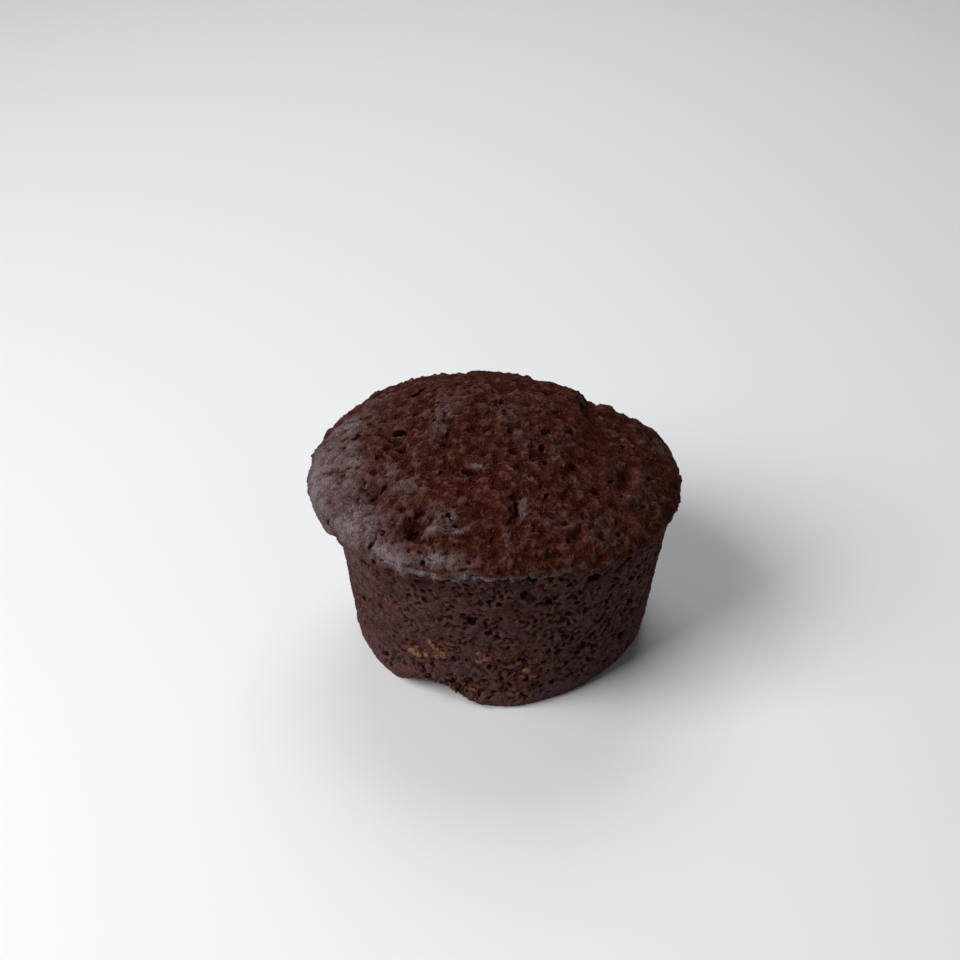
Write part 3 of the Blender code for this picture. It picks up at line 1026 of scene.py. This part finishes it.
def proud_of(piece, rounds):
    """How far each point stands out of a copy that is smoothed by this many rounds."""
    only(piece)
    bpy.ops.object.duplicate()
    smooth_copy = bpy.context.object
    shape_with(smooth_copy, "SMOOTH", factor=0.5, iterations=rounds)
    out = np.einsum("ij,ij->i", read_points(piece) - read_points(smooth_copy), read_normals(smooth_copy))
    bpy.data.objects.remove(smooth_copy)
    return out


grain_out = proud_of(cake, GRAIN_ROUNDS)
lump_out = proud_of(cake, LUMP_ROUNDS)
points = read_points(cake)
cake.vertex_groups.clear()
keep(cake, "proud", np.clip(grain_out / GRAIN_RANGE, -1, 1) * 0.5 + 0.5)
keep(cake, "high", np.clip(lump_out / LUMP_RANGE, -1, 1) * 0.5 + 0.5)
keep(cake, "crust", crust_share(points))
for name, out in (("relief of the lumps", lump_out), ("grain", grain_out)):
    print(f"the {name} stands out by up to {np.percentile(out, 95) / MM:.2f} mm")

# %% [markdown]
# ## Dust and painted sheen, rust, stains, and damp with painted shade
#
# On its left the lip is a pale, dusty mauve: partly dry crust, partly a painted sheen of the window's
# light. The flakes, the ledge and the raised line left of the crown are painted the same way. The middle of
# the crown is redder than the rest, and the amber bits stained the crumb round them. Some hollows, the
# crater and the band under the lip are darker: partly damp crumb, partly painted shade. Each kind is kept
# as one more attribute, a blend of soft oval spots.

# %% Spots of dust and painted sheen: px, py, half length, half height, turn, share
DUST_AND_SHEEN_SPOTS = (
    (318, 482, 7, 15, 0, 1),
    (345, 430, 6, 5, 30, 0.8),
    (348, 525, 7, 6, -30, 1),
    (388, 557, 6, 2.6, -12, 1.15),
    (370, 530, 4, 5, 0, 0.75),
    (438, 560, 5, 1.8, -8, 0.9),
    (425, 574, 5, 1.2, 0, 1.2),
    (443, 577, 4, 1, 0, 1.2),
    (470, 578, 4, 1.2, 0, 1.1),
    (505, 579, 7, 1, 0, 0.8),
    (440, 520, 3, 2.5, 0, 0.5),
    (378, 402, 5, 2.5, 30, 0.4),
    (405, 487, 4, 3, 0, 0.4),
    (354, 465, 3, 4.5, 0, 0.9),
    (446, 413, 1.6, 3, 0, 0.5),
    (428, 519, 1.6, 0.8, 30, 0.6),
    (436, 531, 2.2, 0.9, 0, 1.1),
    (452, 520, 1, 1.8, -40, 1),
    (458, 531, 1.6, 0.8, 0, 0.9),
    (478, 467, 1.5, 0.6, -15, 1.1),
    (524, 509, 0.9, 2.4, 0, 0.6),
    (395, 420, 5, 4, 0, 0.14),
    (520, 394, 8, 2.5, 0, 0.14),
    (385, 646, 3, 3, 0, 0.15),
    (556, 450, 1.4, 3.5, 0, 0.2),
    (598, 529, 4, 3, 0, 0.2),
    (523, 438, 2, 2.5, 0, 0.35),
    (440, 430, 1.6, 2.5, 0, 0.4),
    (449, 396, 2, 3, 0, 0.3),
    (438, 383, 3, 1.2, 0, 0.5),
    (348, 487, 3, 3, 0, 0.8),
    (351, 450, 2, 2.5, 0, 0.9),
    (468, 575, 2, 1, 0, 1.2),
    (387, 473, 2, 2.5, 0, 0.5),
    (617, 476, 2, 2, 0, 0.3),
    (556, 520, 2, 2, 0, 0.25),
    (424, 414, 2, 2, 0, 0.3),
    (370, 430, 3, 2.5, 0, 0.25),
    (632, 502, 2.5, 2, 0, 0.25),
    (647, 488, 2, 3, 0, 0.2),
    (581, 404, 2.5, 1.5, 0, 0.4),
    (564, 571, 3, 1, 0, 0.35),
    (404, 519, 3, 3, 0, 0.2),
    (364, 484, 2, 2, 0, 0.6),
    (659, 448, 3, 4, 0, 0.3),
    (455, 405, 4, 5, 0, 0.15),
    (505, 412, 4, 4, 0, 0.2),
)

# %% Rusty spots, stained spots, and spots of damp crumb and painted shade: px, py, half length, half height, turn, share
RUSTY_SPOTS = (
    (470, 495, 9, 7, 0, 0.75),
    (375, 445, 4, 6, 0, 0.5),
    (412, 530, 4, 5, 0, 0.6),
    (470, 560, 9, 4, 0, 0.7),
    (550, 540, 12, 5, 0, 0.5),
    (398, 398, 6, 3, 20, 0.7),
    (520, 480, 7, 5, 0, 0.5),
    (600, 540, 10, 4, 0, 0.4),
    (527, 674, 3, 2.5, 0, 0.9),
    (465, 684, 3, 1.5, 0, 0.7),
    (483, 656, 2.5, 2, 0, 0.7),
)
STAINED_SPOTS = (
    (416, 652, 2.2, 1.8, 0, 1),
    (428, 654, 2, 1.6, 0, 0.7),
    (438, 648, 2.6, 1.6, -50, 1),
    (484, 658, 2.4, 2, 0, 0.8),
    (466, 687, 3, 1.2, 0, 0.9),
    (528, 674, 2.6, 1.8, 0, 0.8),
)
# Darker spots in hollows, in the crater and under the lip: partly damp crumb, partly painted shade
DAMP_AND_SHADE_SPOTS = (
    (445, 591, 7, 1.8, 0, 0.9),
    (385, 583, 5, 1.8, -25, 0.8),
    (505, 590, 6, 1.8, 0, 0.65),
    (535, 601, 4, 1.8, 0, 0.7),
    (476, 549, 3, 2.5, 0, 0.6),
    (370, 500, 4, 2, 38, 0.6),
    (553, 484, 3, 2, 0, 0.5),
    (475, 416, 2.5, 4, 0, 0.5),
    (468, 458, 6, 7, 0, 0.4),
    (480, 622, 9, 6, 0, 0.35),
    (525, 610, 8, 6, 0, 0.5),
    (600, 580, 8, 1.8, 30, 0.4),
    (480, 524, 3, 3, 0, 0.4),
    (540, 440, 9, 6, 0, 0.2),
    (416, 536, 2.2, 2.2, -20, 0.8),
    (369, 514, 2.5, 1.5, 0, 0.3),
    (546, 445, 1.2, 3.5, 0, 0.5),
)

# %% Keep the tints, the painted sheen and the painted shade with the mesh
FULL_FLAKE = 0.5 * MM
FLAKE_DUST_AND_SHEEN = 0.45
LEDGE_DUST_AND_SHEEN = 1.1
RIDGE_DUST_AND_SHEEN = 0.35

# The pale mauve share: dust, and painted sheen on the left lip, the flakes, the ledge and the raised line
dust_and_sheen = spots_share(points, DUST_AND_SHEEN_SPOTS)
dust_and_sheen = np.maximum(dust_and_sheen, FLAKE_DUST_AND_SHEEN * np.clip(flake_lift(points) / FULL_FLAKE, 0, 1))
dust_and_sheen = np.maximum(dust_and_sheen, LEDGE_DUST_AND_SHEEN * ledge_share(points))
dust_and_sheen = np.maximum(dust_and_sheen, RIDGE_DUST_AND_SHEEN * ridge_share(points))
keep(cake, "dust_and_sheen", dust_and_sheen)
keep(cake, "rusty", spots_share(points, RUSTY_SPOTS))
keep(cake, "damp_and_shade", spots_share(points, DAMP_AND_SHADE_SPOTS))
keep(cake, "stained", spots_share(points, STAINED_SPOTS))
print(f"{np.mean(dust_and_sheen > 0.3):.0%} of the points are dusty")

# %% [markdown]
# ## The look of the cake
#
# Baked chocolate batter is dark, matt and uneven: red-brown where the crust dried, purple-brown on the
# side, nearly black in the pores, and greyer where dry crumbs stand proud. Here the black of the pores is
# partly painted shade, and the grey of what stands proud is partly painted highlight. A painted texture
# would need a map for this one cake. Noise in object coordinates, mixed by the attributes, fits any cake of
# its kind.

# %% Helpers for shader nodes
def new_group(name, inputs, outputs):
    """A shader node group with these named sockets, and its input and output nodes."""
    group = bpy.data.node_groups.new(name, "ShaderNodeTree")
    for label, kind, value in inputs:
        socket = group.interface.new_socket(label, in_out="INPUT", socket_type=kind)
        if value is not None:
            socket.default_value = value
    for label, kind in outputs:
        group.interface.new_socket(label, in_out="OUTPUT", socket_type=kind)
    return group, group.nodes.new("NodeGroupInput"), group.nodes.new("NodeGroupOutput")


def node(tree, kind, inputs=(), **settings):
    """A node with its settings, and its inputs set to values or linked to other nodes' sockets."""
    made = tree.nodes.new(kind)
    for name, value in settings.items():
        setattr(made, name, value)
    for name, value in dict(inputs).items():
        if isinstance(value, bpy.types.NodeSocket):
            tree.links.new(value, made.inputs[name])
        else:
            made.inputs[name].default_value = value
    return made


def noise(tree, vector, size, detail=2.0, roughness=0.5):
    """A noise's value, with features of this size in metres."""
    made = node(tree, "ShaderNodeTexNoise",
                {"Vector": vector, "Scale": 1 / size, "Detail": detail, "Roughness": roughness})
    return made.outputs["Fac"]


def ramp(tree, value, start, end, low=0.0, high=1.0):
    """The value taken from the range start to end on to the range low to high."""
    made = node(tree, "ShaderNodeMapRange",
                {"Value": value, "From Min": start, "From Max": end, "To Min": low, "To Max": high},
                interpolation_type="SMOOTHSTEP")
    return made.outputs["Result"]


def blend(tree, factor, first, second):
    """The first colour where the factor is 0, and the second where it is 1."""
    made = node(tree, "ShaderNodeMix", data_type="RGBA")
    for socket, value in ((0, factor), (6, first), (7, second)):
        if isinstance(value, bpy.types.NodeSocket):
            tree.links.new(value, made.inputs[socket])
        else:
            made.inputs[socket].default_value = value
    return made.outputs[2]


def layered(tree, colour, layers):
    """A colour with other tones laid over it in turn, each as far as its mask says."""
    for mask, tone in layers:
        colour = blend(tree, mask, colour, tone)
    return colour


def tinted(tree, colour, tint):
    """A colour times a tint."""
    made = node(tree, "ShaderNodeMix", {0: 1.0}, data_type="RGBA", blend_type="MULTIPLY")
    tree.links.new(colour, made.inputs[6])
    tree.links.new(tint, made.inputs[7])
    return made.outputs[2]


def math_of(tree, operation, first, second):
    """The result of a math node, such as ADD, on two values."""
    return node(tree, "ShaderNodeMath", {0: first, 1: second}, operation=operation).outputs[0]


def plus(tree, *values):
    total = values[0]
    for value in values[1:]:
        total = math_of(tree, "ADD", total, value)
    return total


def times(tree, *values):
    product = values[0]
    for value in values[1:]:
        product = math_of(tree, "MULTIPLY", product, value)
    return product


def kept(tree, name):
    """The attribute that was kept under this name."""
    return node(tree, "ShaderNodeAttribute", attribute_name=name).outputs["Fac"]


# %% [markdown]
# Two effects are used by more than one material, so each is a node group. The fine crumb gives the height
# of small cells that a noise roughens, for the bump, and picks a few cells as painted glints. The uneven
# bake gives a tint, because no two spots of a cake bake alike. The groups give only values and colours, and
# each material keeps its own shader.

# %% Fine crumb: a grain that every baked surface here shares, and painted glints
GRAIN_SIZE = 0.35 * MM

crumb, crumb_in, crumb_out = new_group(
    "fine_crumb",
    [("Vector", "NodeSocketVector", None), ("Grain", "NodeSocketFloat", 1 / GRAIN_SIZE)],
    [("Height", "NodeSocketFloat"), ("Glint", "NodeSocketFloat")],
)
cells = node(crumb, "ShaderNodeTexVoronoi",
             {"Vector": crumb_in.outputs["Vector"], "Scale": crumb_in.outputs["Grain"]})
rough = node(crumb, "ShaderNodeTexNoise",
             {"Vector": crumb_in.outputs["Vector"], "Scale": crumb_in.outputs["Grain"], "Detail": 3.0})
height = math_of(crumb, "SUBTRACT", rough.outputs["Fac"], cells.outputs["Distance"])
crumb.links.new(height, crumb_out.inputs["Height"])
glint_pick = node(crumb, "ShaderNodeSeparateColor", {"Color": cells.outputs["Color"]})
crumb.links.new(ramp(crumb, glint_pick.outputs[0], 0.82, 0.95), crumb_out.inputs["Glint"])

# %% Uneven bake: a tint that wanders from purple to orange, and from brown to red
PURPLE_TINT = (1.00, 0.95, 1.14, 1.0)
ORANGE_TINT = (1.00, 1.06, 0.84, 1.0)
BROWN_TINT = (0.88, 1.05, 1.06, 1.0)
RED_TINT = (1.22, 0.89, 0.89, 1.0)
NO_TINT = (1.0, 1.0, 1.0, 1.0)
ORANGE_SIZE = 1.3 * MM
RED_SIZE = 0.9 * MM

bake, bake_in, bake_out = new_group(
    "uneven_bake",
    [("Vector", "NodeSocketVector", None), ("Red", "NodeSocketFloat", 1.0)],
    [("Tint", "NodeSocketColor")],
)
orange = ramp(bake, noise(bake, bake_in.outputs["Vector"], ORANGE_SIZE, 4.0, 0.6), 0.38, 0.62)
red = ramp(bake, noise(bake, bake_in.outputs["Vector"], RED_SIZE, 3.0, 0.6), 0.38, 0.62)
red_tint = blend(bake, red, BROWN_TINT, RED_TINT)
red_tint = blend(bake, bake_in.outputs["Red"], NO_TINT, red_tint)
tint = tinted(bake, blend(bake, orange, PURPLE_TINT, ORANGE_TINT), red_tint)
bake.links.new(tint, bake_out.inputs["Tint"])

# %% [markdown]
# The material lays one tone over another: first the side's and the crust's own brown, from dark in the
# hollows to pale on the lumps as painted shade, and on the side paler towards the foot as painted bounce
# light; then rust, dry crumbs with painted highlights, painted glints and the uneven bake; then dust with
# painted sheen, moist dark and painted shade in what lies low, stains, and damp crumb with painted shade.
# Most masks are an attribute times a noise, so that a tone doesn't end along a smooth line. The surface is
# matt: a low specular level, and a high roughness.

# %% The cake's tones
SIDE_DARK = (0.0335, 0.0145, 0.0148, 1.0)
SIDE_PALE = (0.078, 0.0412, 0.0420, 1.0)
SIDE_WARM = (0.082, 0.0340, 0.0275, 1.0)
# A paler side near the foot: painted bounce light
SIDE_BOUNCE_LIGHT = (0.125, 0.0640, 0.0610, 1.0)
CRUST_DARK = (0.0245, 0.0040, 0.0019, 1.0)
CRUST_PALE = (0.056, 0.0142, 0.0086, 1.0)
CRUST_WARM = (0.062, 0.0185, 0.0080, 1.0)
RUST = (0.050, 0.0090, 0.0055, 1.0)
# Pale mauve, for dust and for painted sheen
DUST_AND_SHEEN = (0.185, 0.1460, 0.1530, 1.0)
# Grey-mauve: dry crumbs, and painted highlights on proud grains
DRY_CRUMB_AND_HIGHLIGHT = (0.104, 0.0510, 0.0410, 1.0)
# Painted glints
PAINTED_GLINT = (0.126, 0.0630, 0.0490, 1.0)
# Nearly black: moist crumb, and painted shade in what lies low and in the pits
MOIST_SHADE_SIDE = (0.018, 0.0045, 0.0042, 1.0)
MOIST_SHADE_CRUST = (0.020, 0.0032, 0.0015, 1.0)
STAIN_DARK = (0.040, 0.0080, 0.0018, 1.0)
STAIN_PALE = (0.145, 0.0580, 0.0280, 1.0)
STAIN_SHARE = 0.9
DAMP_AND_SHADE_SHARE = 0.6
CRUMB_SPECULAR = 0.02


def new_material(name, **constants):
    """A material whose shader has these constants, its node tree and its shader."""
    material = bpy.data.materials.new(name)
    material.use_nodes = True
    shader = material.node_tree.nodes["Principled BSDF"]
    for label, value in constants.items():
        shader.inputs[label.replace("_", " ")].default_value = value
    return material, material.node_tree, shader


def grainy(tree, shader, grain, strength, distance):
    """Bumps a shader's surface by the fine crumb."""
    bump = node(tree, "ShaderNodeBump",
                {"Strength": strength, "Distance": distance, "Height": grain.outputs["Height"]})
    tree.links.new(bump.outputs["Normal"], shader.inputs["Normal"])


# %% Its masks
FINE_SIZE = 0.5 * MM
PATCH_SIZE = 2.0 * MM
WARM_SIZE = 3.5 * MM
BROAD_SIZE = 6.0 * MM
# Heights over which the painted bounce light on the side fades out
SIDE_BOUNCE_FADE = 14 * MM
FOOT_BOUNCE_FADE = 7 * MM

material, tree, shader = new_material("baked_chocolate", Specular_IOR_Level=CRUMB_SPECULAR)
place = node(tree, "ShaderNodeTexCoord").outputs["Object"]
crust = kept(tree, "crust")
grain = node(tree, "ShaderNodeGroup", {"Vector": place}, node_tree=crumb)
proud_share = kept(tree, "proud")
high_share = kept(tree, "high")
dust_and_sheen_share = kept(tree, "dust_and_sheen")
fine = ramp(tree, noise(tree, place, FINE_SIZE, 3.0, 0.7), 0.35, 0.65)
patches = ramp(tree, noise(tree, place, PATCH_SIZE, 5.0, 0.65), 0.35, 0.65)
warm = ramp(tree, noise(tree, place, WARM_SIZE, 2.0), 0.4, 0.75)
broad = ramp(tree, noise(tree, place, BROAD_SIZE, 3.0), 0.4, 0.6)
above_base = node(tree, "ShaderNodeSeparateXYZ", {"Vector": place}).outputs["Z"]
# The base tone: painted shade, dark in the hollows and pale on the lumps, plus the crumb's own patches and
# fine noise
level = plus(
    tree,
    ramp(tree, high_share, 0.3, 0.7, 0.0, 0.45),
    ramp(tree, patches, 0.0, 1.0, -0.08, 0.38),
    ramp(tree, fine, 0.0, 1.0, -0.15, 0.35),
)
# The side is painted paler towards the foot, as bounced light
side_level_with_bounce = plus(tree, level, ramp(tree, above_base, 0.0, SIDE_BOUNCE_FADE, 0.45, 0.0))
rusty = times(tree, kept(tree, "rusty"), broad)
# A paler tone right at the foot: painted bounce light
foot_bounce_light = ramp(tree, above_base, 0.0, FOOT_BOUNCE_FADE, 0.45, 0.0)
# Dry crumbs and painted highlights on the proud grain of the lumps
dry_and_highlight = times(tree, ramp(tree, proud_share, 0.55, 0.9), ramp(tree, high_share, 0.3, 0.7, 0.1, 0.7))
# Painted glints, more in some patches
painted_glints = times(tree, grain.outputs["Glint"], ramp(tree, patches, 0.2, 1.0, 0.1, 0.5))
# Dust and painted sheen, broken up by noise and kept off the hollows
dust_and_sheen_mask = times(
    tree,
    dust_and_sheen_share,
    ramp(tree, fine, 0.0, 1.0, 0.65, 1.0),
    ramp(tree, high_share, 0.3, 0.6, 0.45, 1.0),
    ramp(tree, patches, 0.1, 0.7, 0.5, 1.0),
)
# Painted shade and moist dark: low between the lumps, and in the grain's pits except on the pale mauve
# parts
sunk_shade = ramp(tree, high_share, 0.35, 0.0, 0.0, 0.7)
moist_shade = times(tree, ramp(tree, proud_share, 0.42, 0.1), ramp(tree, dust_and_sheen_share, 0.2, 1.0, 0.8, 0.35))
stained = times(tree, kept(tree, "stained"), STAIN_SHARE)
# Damp crumb and painted shade in hollows, in the crater and under the lip
damp_and_shade = times(tree, kept(tree, "damp_and_shade"), DAMP_AND_SHADE_SHARE)

# %% Its colour, roughness and bump
side = blend(tree, side_level_with_bounce, SIDE_DARK, blend(tree, warm, SIDE_PALE, SIDE_WARM))
side = blend(tree, foot_bounce_light, side, SIDE_BOUNCE_LIGHT)
top = blend(tree, level, CRUST_DARK, blend(tree, warm, CRUST_PALE, CRUST_WARM))
colour = blend(tree, crust, side, top)
colour = layered(tree, colour, ((rusty, RUST), (dry_and_highlight, DRY_CRUMB_AND_HIGHLIGHT), (painted_glints, PAINTED_GLINT)))
redness = ramp(tree, crust, 0.0, 1.0, 0.85, 0.3)
baked = node(tree, "ShaderNodeGroup", {"Vector": place, "Red": redness}, node_tree=bake)
colour = tinted(tree, colour, baked.outputs["Tint"])
moist_and_shade_tone = blend(tree, crust, MOIST_SHADE_SIDE, MOIST_SHADE_CRUST)
stain_tone = blend(tree, fine, STAIN_DARK, STAIN_PALE)
late_layers = ((dust_and_sheen_mask, DUST_AND_SHEEN), (sunk_shade, moist_and_shade_tone), (moist_shade, moist_and_shade_tone), (stained, stain_tone),
               (damp_and_shade, moist_and_shade_tone))
tree.links.new(layered(tree, colour, late_layers), shader.inputs["Base Color"])
tree.links.new(ramp(tree, patches, 0.0, 1.0, 0.85, 0.7), shader.inputs["Roughness"])
grainy(tree, shader, grain, 0.9, 0.2 * MM)
cake.data.materials.clear()
cake.data.materials.append(material)
print(f"the cake's material has {len(tree.nodes)} nodes")

# %% [markdown]
# ## Crumbs
#
# Loose grains of baked batter lie in clumps all over the crust, and some cling to the side. A particle
# system would scatter them, but it can't be exported. So one crumb is modelled, a rough twenty-sided grain,
# and copied by thousands into one mesh, each at its own size and turn. Every crumb also keeps a tone of
# its own.

# %% One crumb, and its copies
CRUST_CRUMBS = 6000
SIDE_CRUMBS = 1400
CRUMB_RADIUS = (0.16 * MM, 0.42 * MM)
CRUMB_SIDES = (0.7, 1.1)
CRUMB_SINK = (0.1, 0.7)
SMALL_CRUMBS = 2.5
CLUMP_SIZE = 3.5 * MM
CLUMP_MIDDLE = 0.55
CLUMP_SPREAD = 1.6
CLUMP_LEAST = 0.15
CALM_CHANCE = 0.08


def crumb_chance(point):
    """The chance of a crumb: high in a clump, low where the crust is calm."""
    clump = min(max(CLUMP_MIDDLE + CLUMP_SPREAD * noise_of(point / CLUMP_SIZE), CLUMP_LEAST), 1.0)
    craggy = craggy_share(np.array([point]))[0]
    return clump * (CALM_CHANCE * crust_chance(point) + (1 - CALM_CHANCE) * craggy)


one_crumb = rough_ball("one_crumb", 1, 0.25, seed=8)
skin = skin_tree(cake)
places = []
tones = []
for point, normal in (scatter(skin, CRUST_CRUMBS, crumb_chance)
                      + scatter(skin, SIDE_CRUMBS, side_chance)):
    radius = chance_radius(*CRUMB_RADIUS, SMALL_CRUMBS)
    half_sizes = [radius * draw.uniform(*CRUMB_SIDES) for _ in range(3)]
    sink = radius * draw.uniform(*CRUMB_SINK)
    places.append(place_on(point, normal, half_sizes, draw.uniform(0, 360), sink))
    tones.append(draw.random())
crumbs = many(one_crumb, places, "crumbs")
keep(crumbs, "tone", np.repeat(tones, len(one_crumb.data.vertices)))
keep(crumbs, "dust_and_sheen", spots_share(read_points(crumbs), DUST_AND_SHEEN_SPOTS))
bpy.data.objects.remove(one_crumb)
only(crumbs)
bpy.ops.object.shade_smooth()
print(f"{len(places)} crumbs, {len(crumbs.data.polygons)} triangles")

# %% [markdown]
# Crumbs range from the crust's dark red-brown to the grey-mauve of dry grains, each by its own tone. They
# share the fine crumb and the uneven bake with the cake, the crumb at a smaller grain.

# %% The crumbs' material
CRUMB_RED = 0.5
CRUMB_GLINTS = 0.5

material, tree, shader = new_material("dry_crumbs", Specular_IOR_Level=CRUMB_SPECULAR, Roughness=0.8)
place = node(tree, "ShaderNodeTexCoord").outputs["Object"]
tone = kept(tree, "tone")
grain = node(tree, "ShaderNodeGroup", {"Vector": place, "Grain": 2 / GRAIN_SIZE}, node_tree=crumb)
baked = node(tree, "ShaderNodeGroup", {"Vector": place, "Red": CRUMB_RED}, node_tree=bake)
# Painted glints on a few grains
painted_glints = times(tree, grain.outputs["Glint"], CRUMB_GLINTS)
colour = layered(tree, CRUST_DARK, (
    (ramp(tree, tone, 0.0, 0.7), CRUST_PALE),
    (ramp(tree, tone, 0.7, 1.1), DRY_CRUMB_AND_HIGHLIGHT),
    (painted_glints, DRY_CRUMB_AND_HIGHLIGHT),
    # Dust and painted sheen where the cake has them
    (ramp(tree, kept(tree, "dust_and_sheen"), 0.1, 0.8), DUST_AND_SHEEN),
))
colour = tinted(tree, colour, baked.outputs["Tint"])
tree.links.new(colour, shader.inputs["Base Color"])
grainy(tree, shader, grain, 0.5, 0.08 * MM)
crumbs.data.materials.append(material)
print(f"the crumbs' material has {len(tree.nodes)} nodes")

# %% [markdown]
# ## Amber bits
#
# Low on the side a few bits of something amber show, fruit or caramel, and those further right are redder.
# Each is a lump of a few rough balls, flattened and half sunk in the side. A Remesh unites the balls, and
# a fine cloud texture breaks their round outlines.

# %% Amber bits: px, py, half length, half height, turn
AMBER_BITS = (
    (413, 651, 1.5, 1, 10),
    (418, 654, 1.2, 1, 20),
    (417, 648, 1, 0.7, 0),
    (427, 655, 0.8, 0.6, -30),
    (430, 641, 0.9, 0.7, -40),
    (435, 647, 1.7, 0.8, -48),
    (442, 654, 1.5, 0.9, -45),
    (437, 656, 0.8, 0.6, 0),
    (468, 688, 1.3, 0.7, 0),
    (475, 690, 0.8, 0.6, 0),
    # The redder bits
    (481, 654, 1.1, 0.9, 0),
    (487, 659, 1.2, 0.7, 20),
    (479, 661, 0.8, 0.6, 0),
    (526, 671, 1.1, 0.9, 0),
    (533, 675, 1.1, 0.8, -20),
    (522, 677, 0.8, 0.6, 0),
    (462, 683, 0.8, 0.7, 0),
)
# Where they are red: px, py, half length, half height, turn, share
RED_SPOTS = (
    (484, 657, 2.5, 2.5, 0, 1),
    (529, 674, 2.5, 2.5, 0, 1),
    (466, 686, 3, 1.6, 0, 0.7),
)
AMBER_THICKNESS = 0.5 * MM
AMBER_ROUGH_SIZE = 0.8 * MM
AMBER_ROUGHNESS = 0.55 * MM

places = []
for px, py, half_length, half_height, turn in AMBER_BITS:
    point, normal = seen_at(solid_tree, px, py)
    half_sizes = (half_length * MM, half_height * MM, AMBER_THICKNESS)
    places.append(place_on(point, normal, half_sizes, turn, 0.0))
amber = many(ball, places, "amber_bits")
remesh(amber, CUTTER_STEP)
lumps(amber, "", AMBER_ROUGH_SIZE, AMBER_ROUGHNESS, detail=3)
keep(amber, "red", spots_share(read_points(amber), RED_SPOTS))
only(amber)
bpy.ops.object.shade_smooth()
bpy.data.objects.remove(ball)
print(f"the amber bits have {len(amber.data.polygons)} faces")

# %% [markdown]
# The amber is mottled from dark brown to ochre, and a little shinier than the crumb round it. Its grain is
# the fine crumb's too, because crumbs cling to it.

# %% The amber bits' material
AMBER_PALE = (0.200, 0.088, 0.042, 1.0)
AMBER_DARK = (0.055, 0.016, 0.007, 1.0)
RED_PALE = (0.140, 0.052, 0.040, 1.0)
RED_DARK = (0.060, 0.013, 0.009, 1.0)
MOTTLE_SIZE = 0.8 * MM

material, tree, shader = new_material("amber_bits", Specular_IOR_Level=0.2)
place = node(tree, "ShaderNodeTexCoord").outputs["Object"]
grain = node(tree, "ShaderNodeGroup", {"Vector": place}, node_tree=crumb)
mottle = ramp(tree, noise(tree, place, MOTTLE_SIZE, 4.0, 0.7), 0.42, 0.60)
amber_tone = blend(tree, mottle, AMBER_DARK, AMBER_PALE)
red_tone = blend(tree, mottle, RED_DARK, RED_PALE)
tree.links.new(blend(tree, kept(tree, "red"), amber_tone, red_tone), shader.inputs["Base Color"])
tree.links.new(ramp(tree, mottle, 0.0, 1.0, 0.45, 0.7), shader.inputs["Roughness"])
grainy(tree, shader, grain, 0.5, 0.1 * MM)
amber.data.materials.append(material)
print(f"the amber bits' material has {len(tree.nodes)} nodes")

# %% [markdown]
# ## Floor and light
#
# The photograph's light is a broad, cool window on the cake's left, a little in front of it. A weaker one
# lies behind, and pale surroundings throw a faint glow back on the right. Large area lights stand for all
# three, and a faint pale sky fills the shadows.

# %% Floor
FLOOR_SIZE = 4.0
FLOOR_COLOUR = (0.85, 0.85, 0.85, 1.0)

bpy.ops.object.select_all(action="DESELECT")
bpy.ops.mesh.primitive_plane_add(size=FLOOR_SIZE)
floor = bpy.context.object
floor.name = "floor"
floor_material, _, _ = new_material("pale_floor", Base_Color=FLOOR_COLOUR, Roughness=0.6)
floor.data.materials.append(floor_material)

# %% Window, back window, side glow and sky
WINDOW_COLOUR = (0.97, 0.98, 1.0)
GLOW_COLOUR = (0.86, 0.94, 1.0)
SKY_COLOUR = (0.95, 0.97, 1.0, 1.0)
SKY_STRENGTH = 0.06


def area_light(name, place, size, power, colour):
    """A square soft light that faces the cake."""
    bpy.ops.object.light_add(type="AREA", location=place)
    light = bpy.context.object
    light.name = name
    light.data.size = size
    light.data.energy = power
    light.data.color = colour
    facing = Vector((0, 0, HEIGHT / 2)) - light.location
    light.rotation_euler = facing.to_track_quat("-Z", "Y").to_euler()
    print(f"{name}: {power} W from {facing.length:.2f} m")


area_light("window", (-0.48, -0.26, 0.54), size=0.5, power=6.3, colour=WINDOW_COLOUR)
area_light("back_window", (0.0, 0.48, 0.60), size=0.5, power=2.2, colour=WINDOW_COLOUR)
area_light("side_glow", (0.50, -0.20, 0.22), size=0.4, power=0.17, colour=GLOW_COLOUR)

world = bpy.data.worlds.new("pale_sky")
world.use_nodes = True
sky = world.node_tree.nodes["Background"]
sky.inputs["Color"].default_value = SKY_COLOUR
sky.inputs["Strength"].default_value = SKY_STRENGTH
bpy.context.scene.world = world
bpy.context.scene.view_settings.view_transform = "Standard"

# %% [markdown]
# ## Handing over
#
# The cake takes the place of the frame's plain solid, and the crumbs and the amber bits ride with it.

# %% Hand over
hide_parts("brownie")
for piece in (cake, crumbs, amber):
    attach(piece, "root")
